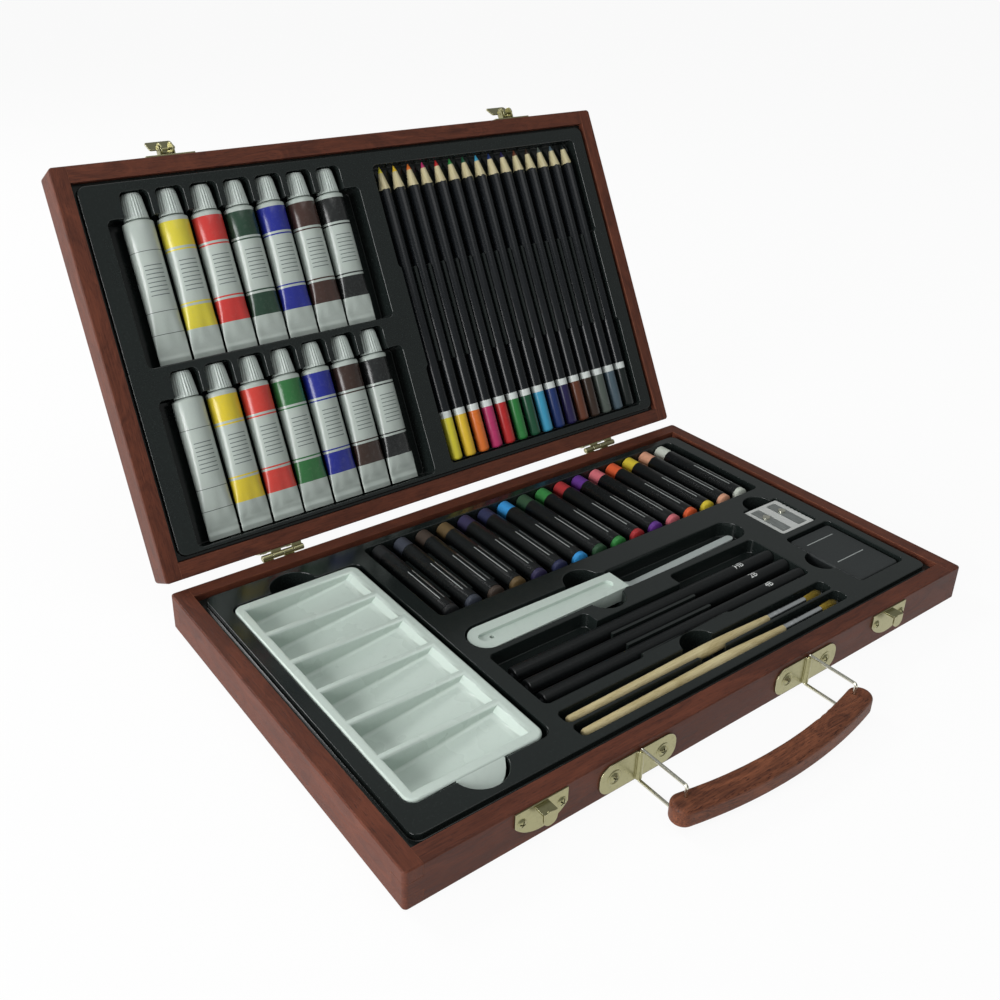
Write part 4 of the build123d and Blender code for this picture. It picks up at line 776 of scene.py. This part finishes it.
hair_tree, given, result = start_tree("brush_hair", {
    "Count": hair_count, "Packed radius": packed_radius, "Length": hair_length, "Flare": hair_flare,
    "Hair radius": hair_radius, "Seed": 1})
tree = hair_tree
number = add(tree, "GeometryNodeInputIndex").outputs[0]
ring_share = calc(tree, "SQRT", calc(tree, "DIVIDE", calc(tree, "ADD", number, 0.5), given["Count"]))
angle = times(tree, number, math.pi * (3 - math.sqrt(5)))
spread_from = vector(tree, times(tree, ring_share, calc(tree, "COSINE", angle)),
                     times(tree, ring_share, calc(tree, "SINE", angle)))
dots = add(tree, "GeometryNodePoints", {"Count": given["Count"]})
roots = add(tree, "GeometryNodeSetPosition", {"Geometry": dots.outputs[0],
                                              "Position": stretch(tree, spread_from, given["Packed radius"])})
feeds = {0: (-hair_stray, -hair_stray, 0.0), 1: (hair_stray, hair_stray, 0.0), "Seed": given["Seed"]}
stray = add(tree, "FunctionNodeRandomValue", feeds, data_type="FLOAT_VECTOR")
leaning = combine(tree, "ADD", stretch(tree, spread_from, given["Flare"]), stray.outputs[0])
direction = combine(tree, "ADD", leaning, vector(tree, z=given["Length"]))
aimed = add(tree, "FunctionNodeAlignRotationToVector", {"Vector": direction}, axis="Z")
blade = add(tree, "GeometryNodeMeshCone", {"Vertices": 5, "Radius Top": hair_tip, "Depth": given["Length"],
                                           "Radius Bottom": given["Hair radius"]}, fill_type="NGON")
height = split(tree, add(tree, "GeometryNodeInputPosition").outputs[0])[2]
tipped = add(tree, "GeometryNodeStoreNamedAttribute", {
    "Geometry": blade.outputs[0], "Name": "tip", "Value": calc(tree, "DIVIDE", height, given["Length"])},
    data_type="FLOAT", domain="POINT")
shorter = times(tree, calc(tree, "POWER", ring_share, 2.0), hair_taper)
length_share = calc(tree, "SUBTRACT", calc(tree, "SUBTRACT", 1.0, shorter),
                    random_value(tree, given, 0.0, hair_trim))
planted = repeated(tree, Points=roots.outputs[0], Instance=tipped.outputs[0], Rotation=aimed.outputs[0],
                   Scale=vector(tree, 1.0, 1.0, length_share))
tree.links.new(planted, result)

for number, y in enumerate(brush_y):
    name = "brush_" + str(number + 1)
    onto = in_base @ Matrix.Translation((brush_x0, y, base_height - brush_drop))
    onto = onto @ Matrix.Rotation(-quarter_turn, 4, "Z")
    for part, profile, material, slot in (("handle", handle_profile, pale_wood, "pale_wood"),
                                          ("ferrule", ferrule_profile, ferrule_metal, "ferrule_metal")):
        shape = turned(name + part, profile, brush_sides)
        mesh = shape.data
        mesh.transform(onto)
        bpy.data.objects.remove(shape)
        finish_piece(f"{name}_{part}_turned", mesh, material, name, [f"{name}_{part}"], 40)
    rooted = Matrix.Translation((0, ferrule_end - hair_sunk, 0)) @ Matrix.Rotation(-quarter_turn, 4, "X")
    values = {"Seed": number + 4, "Material": hair, "Length": hair_length + hair_over}
    mesh = grown(name + "_hair", hair_tree, values, onto @ rooted)
    finish_piece(name + "_hair", mesh, hair, name, [name + "_bristles"], 60)


# Eraser: a block of soft black rubber with rounded edges and corners, printed with two plain
# pale rules, loose in its own pocket.
near_rule, far_rule, rule_from, rule_to, print_level = (-64.0, -63.4), (-44.0, -43.4), 127.0, 149.0, 17.0
eraser_rubber, tree, shader = start_material("eraser_rubber")
spot = split(tree, object_place(tree))
across, away = (calc(tree, "DIVIDE", spot[axis], MM) for axis in (0, 1))
rules = times(tree, calc(tree, "MAXIMUM", between(tree, away, *far_rule), between(tree, away, *near_rule)),
              between(tree, across, rule_from, rule_to),
              calc(tree, "GREATER_THAN", spot[2], print_level * MM))
handled(tree, shader, mixed(tree, rules, ink("1b1f20"), ink("9da2a0")), "5d6463", 0.2, 1100.0, 0.55, 0.15,
        0.0006, 0.5)
dressed("eraser", "eraser", eraser_rubber, all_edges(0.3), weld=0.02, corner=60)


# Sharpener: a die-cast alloy block with two tapered holes and ribbed sides; a ground steel
# blade lies in each seat and is held by one slotted screw.
cast_alloy = moulded("cast_alloy", "e8eae7", "898c88", 0.22, 1400.0, 0.27, 0.2, 0.0006, 0.6,
                     worn="f0f0ee", worn_by=0.8, metallic=0.45)
blade_steel, tree, shader = start_material("blade_steel")
ground = noise(tree, stretch(tree, object_place(tree), (1500, 150, 150)), 1.0, 2.0)
paint(tree, shader, mixed(tree, ground, ink("7a7f7d"), ink("c9cdcb")),
      calc(tree, "MULTIPLY_ADD", ground, 0.2, 0.28), metallic=1.0)
dressed("sharpener_body", "sharpener", cast_alloy, all_edges(0.15), weld=0.05, corner=50)
dressed("sharpener_blades", "sharpener", blade_steel, all_edges(0.05, 1), weld=0.05, corner=50)
dressed("sharpener_screws", "sharpener", bright_steel, all_edges(0.12), weld=0.02)


# Paint tubes: two rows of seven laminate tubes, full round the shoulder and crimped flat at
# the end, printed white with plain rules and with broad and narrow bands of the paint's colour.
tubes_in_row, tube_first_x, tube_pitch, row_fronts, tube_sides = 7, 38.0, 18.5, (15.8, 109.0), 56
tube_half, tube_rise, tube_end, tube_lift = 8.2, 6.6, 75.0, 0.75
crimp_start, crimp_half, crimp_rise, groove_rise, crimp_square = 68.0, 8.58, 0.78, 0.62, 5.0
fold_start, fold_run, fold_swell, fold_ridge = 44.0, 12.0, 0.28, 0.22
tube_z = base_height + tube_lift + tube_rise
cap_seat, cap_length, cap_closed, cap_open = 0.6, 13.4, 5.3, 6.5

stations = [(0.0, 4.6, 4.6, 2.0), (0.7, 6.6, 5.9, 2.0), (1.3, 7.9, 6.4, 2.0),
            (1.8, tube_half, tube_rise, 2.0), (12.0, tube_half, tube_rise, 2.0),
            (24.0, tube_half, 6.45, 2.0), (36.0, tube_half, 6.0, 2.05),
            (46.0, 8.25, 5.1, 2.15), (54.0, 8.35, 4.1, 2.3), (60.0, 8.42, 3.0, 2.6), (64.5, 8.5, 2.0, 3.2),
            (67.4, 8.56, 1.1, 4.0), (crimp_start, crimp_half, 0.80, crimp_square)]
for distance, rise in ((69.6, crimp_rise), (69.8, groove_rise), (71.6, groove_rise), (71.8, crimp_rise),
                       (73.2, crimp_rise), (73.4, groove_rise), (tube_end - 0.3, groove_rise)):
    stations.append((distance, crimp_half, rise, crimp_square))
stations.append((tube_end, 8.45, 0.45, crimp_square))


def fold(distance, x):
    """How far the foil of a tube swells or sinks where it is pressed flat."""
    share = min(1.0, max(0.0, (distance - fold_start) / fold_run))
    swell = fold_swell * math.sin(distance * 0.31 + x * 0.62)
    ridge = fold_ridge * (abs(math.sin(x * 0.55 + 0.9)) - 0.5)
    return share * (swell + ridge) * (1.0 if distance < crimp_start else 0.35)


tube_shape = bmesh.new()
print_place = tube_shape.verts.layers.float_vector.new("print")
rings = []
for distance, half, rise, square in stations:
    ring = []
    for step in range(tube_sides):
        angle = 2 * math.pi * step / tube_sides
        x = half * math.copysign(abs(math.sin(angle)) ** (2 / square), math.sin(angle))
        z = rise * math.copysign(abs(math.cos(angle)) ** (2 / square), math.cos(angle))
        vert = tube_shape.verts.new((x, distance, z + fold(distance, x)))
        turn = angle if angle <= math.pi else angle - 2 * math.pi
        vert[print_place] = (-tube_half * turn, distance, 0.0)
        ring.append(vert)
    rings.append(ring)
tube = skinned("tube", tube_shape, rings, tube_sides)

tube_colours = ("a9b2ac cdbf3c bd3430 1f3a2b 1c2584 3c2620 151617 "
                "a9b2ac d0b92f c23a31 2a6535 1c2584 35231c 151617").split()
tube_bands = ((3.4, 17.0), (18.2, 19.0), (46.0, 46.8), (48.0, 59.8))
white_tube_outlines = ((16.7, 17.0), (48.0, 48.3), (59.5, 59.8))
line_pitch, line_share, line_start, line_stop, line_half = 2.2, 0.2, 24.0, 41.0, 5.0
tube_print, tree, shader = start_material("tube_print")
across, away = split(tree, attribute(tree, "print", "Vector"))[:2]


def in_bands(tree, value, bands):
    """1 where a value lies in one of some bands."""
    mask = between(tree, value, *bands[0])
    for band in bands[1:]:
        mask = calc(tree, "MAXIMUM", mask, between(tree, value, *band))
    return mask


order = calc(tree, "ADD", attribute(tree, "number"), 0.5)
white_tube = calc(tree, "LESS_THAN", calc(tree, "MODULO", order, float(tubes_in_row)), 1.0)
lines = calc(tree, "LESS_THAN", calc(tree, "FRACT", calc(tree, "DIVIDE", away, line_pitch)), line_share)
lines = times(tree, lines, between(tree, away, line_start, line_stop),
              between(tree, across, -line_half, line_half))
colour = mixed(tree, in_bands(tree, away, tube_bands), ink("a9b2ac"), by_number(tree, tube_colours))
colour = mixed(tree, lines, colour, ink("5c6263"))
outlines = times(tree, in_bands(tree, away, white_tube_outlines), white_tube)
colour = mixed(tree, outlines, colour, ink("3a3e3f"))
handled(tree, shader, colour, "7f8682", 0.10, 500.0, 0.24, 0.12, 0.0012, 0.6)

rib_count, rib_depth, rib_start, rib_end, cap_edge, cap_draw = 26, 0.035, 1.6, 0.4, 0.1, 0.09
cap_plastic = moulded("cap_plastic", "b3bcb7", "858e8a", 0.2, 400.0, 0.38, 0.1, 0.0002)
cap_tree, given, result = start_tree("ribbed_cap", {
    "Length": cap_length, "Closed radius": cap_closed, "Open radius": cap_open, "Ribs": rib_count,
    "Rib depth": rib_depth})
tree = cap_tree
shell = add(tree, "GeometryNodeMeshCone", {
    "Vertices": times(tree, given["Ribs"], 4.0), "Side Segments": 8, "Fill Segments": 2,
    "Radius Top": given["Closed radius"], "Radius Bottom": given["Open radius"], "Depth": given["Length"]},
    fill_type="NGON")
spot = split(tree, add(tree, "GeometryNodeInputPosition").outputs[0])
turn = calc(tree, "ARCTAN2", spot[1], spot[0])
beat = calc(tree, "COSINE", times(tree, turn, given["Ribs"]))
flank = between(tree, spot[2], rib_start, calc(tree, "SUBTRACT", given["Length"], rib_end))
inset = times(tree, calc(tree, "SUBTRACT", beat, 1.0), given["Rib depth"], flank)
rounded_end = calc(tree, "GREATER_THAN", spot[2], calc(tree, "SUBTRACT", given["Length"], cap_edge))
shrink = calc(tree, "SUBTRACT", inset, times(tree, rounded_end, cap_draw))
push = vector(tree, times(tree, spot[0], shrink), times(tree, spot[1], shrink))
ribbed = add(tree, "GeometryNodeSetPosition", {"Geometry": shell.outputs[0], "Offset": push})
tree.links.new(ribbed.outputs[0], result)
cap_place = Matrix.Translation((0, cap_length, 0)) @ Matrix.Rotation(quarter_turn, 4, "X")
cap = linked("cap", grown("cap", cap_tree, {"Material": cap_plastic}, cap_place))

for number, (row, row_front) in enumerate(zip(("front", "rear"), row_fronts)):
    cap_y = row_front + cap_seat
    for node, name, shape, material, slot, y, turn, roll, corner in (
            ("paint_tubes_", "_printed", tube, tube_print, "printed_tube", cap_y + cap_length, half_turn,
             0.03, 40),
            ("tube_caps_", "_ribbed", cap, cap_plastic, "white_cap", cap_y, 0, 0.4, 30)):
        mesh = grown(node + row, row_tree, {
            "Piece": shape, "Material": material, "Count": tubes_in_row, "Pitch": (tube_pitch, 0, 0),
            "First": (tube_first_x, y, tube_z), "Turn": (0, turn, 0), "Roll": roll,
            "First number": tubes_in_row * number, "Seed": 8 + number}, in_lid)
        finish_piece(node + row + name, mesh, material, "tubes_" + row, [node + row], corner)
bpy.data.objects.remove(tube)
bpy.data.objects.remove(cap)


# Colour pencils: fifteen round barrels in black lacquer with a white ring and a coloured
# end, sharpened to a cone of bare wood and a coloured point.
pencil_count, pencil_pitch, pencil_first_x, pencil_tip_y, pencil_sides = 15, 9.95, 184.65, 19.2, 32
pencil_round, point_end, cone_end, pencil_lift = 3.65, 3.4, 13.4, 1.3
ring_start, ring_end, pencil_end = 147.0, 151.0, 176.4
pencil_z = base_height + pencil_lift + pencil_round
pencil_colours = ("cfc43a d4b032 cc6a2a aa2f5f ab2626 2b7338 1b4a32 3b90b2 "
                  "1c2f60 221d45 5c3424 33261e 4d554f 465660 161c1b").split()
pencil_paint, tree, shader = start_material("pencil_paint")
reach = attribute(tree, "along")
scallop = times(tree, noise(tree, object_place(tree), 420.0, 1.0), 2.4)
bare = calc(tree, "LESS_THAN", calc(tree, "ADD", reach, scallop), cone_end + 1.1)
grain = noise(tree, stretch(tree, object_place(tree), (1800, 120, 120)), 1.0, 2.0)
lead_colour = by_number(tree, pencil_colours)
colour = mixed(tree, bare, ink("101316"), mixed(tree, grain, ink("a1956c"), ink("cfc6a2")))
colour = mixed(tree, calc(tree, "LESS_THAN", reach, point_end + 0.2), colour, lead_colour)
colour = mixed(tree, calc(tree, "GREATER_THAN", reach, ring_end), colour, lead_colour)
colour = mixed(tree, between(tree, reach, ring_start, ring_end), colour, ink("c9cfcc"))
handled(tree, shader, colour, "5a6064", 0.07, 900.0, 0.27, 0.12, 0.0003, 0.4, gloss=0.3)
pencil = turned("pencil", [
    (0.0, 0.0), (0.05, 0.3), (point_end, 1.45), (point_end, 1.5), (cone_end, pencil_round - 0.1),
    (cone_end + 0.15, pencil_round), (ring_start, pencil_round), (ring_end, pencil_round),
    (pencil_end - 1.6, pencil_round), (pencil_end - 0.7, pencil_round - 0.35),
    (pencil_end - 0.15, pencil_round - 1.0), (pencil_end, pencil_round - 1.9),
    (pencil_end, 0.0)], pencil_sides)
mesh = grown("pencils", row_tree, {
    "Piece": pencil, "Material": pencil_paint, "Count": pencil_count, "Roll": any_roll,
    "First": (pencil_first_x, pencil_tip_y, pencil_z), "Pitch": (pencil_pitch, 0, 0)}, in_lid)
finish_piece("colour_pencils_painted", mesh, pencil_paint, "colour_pencils",
             ["colour_pencil_barrels", "colour_pencil_leads"], 40)
bpy.data.objects.remove(pencil)
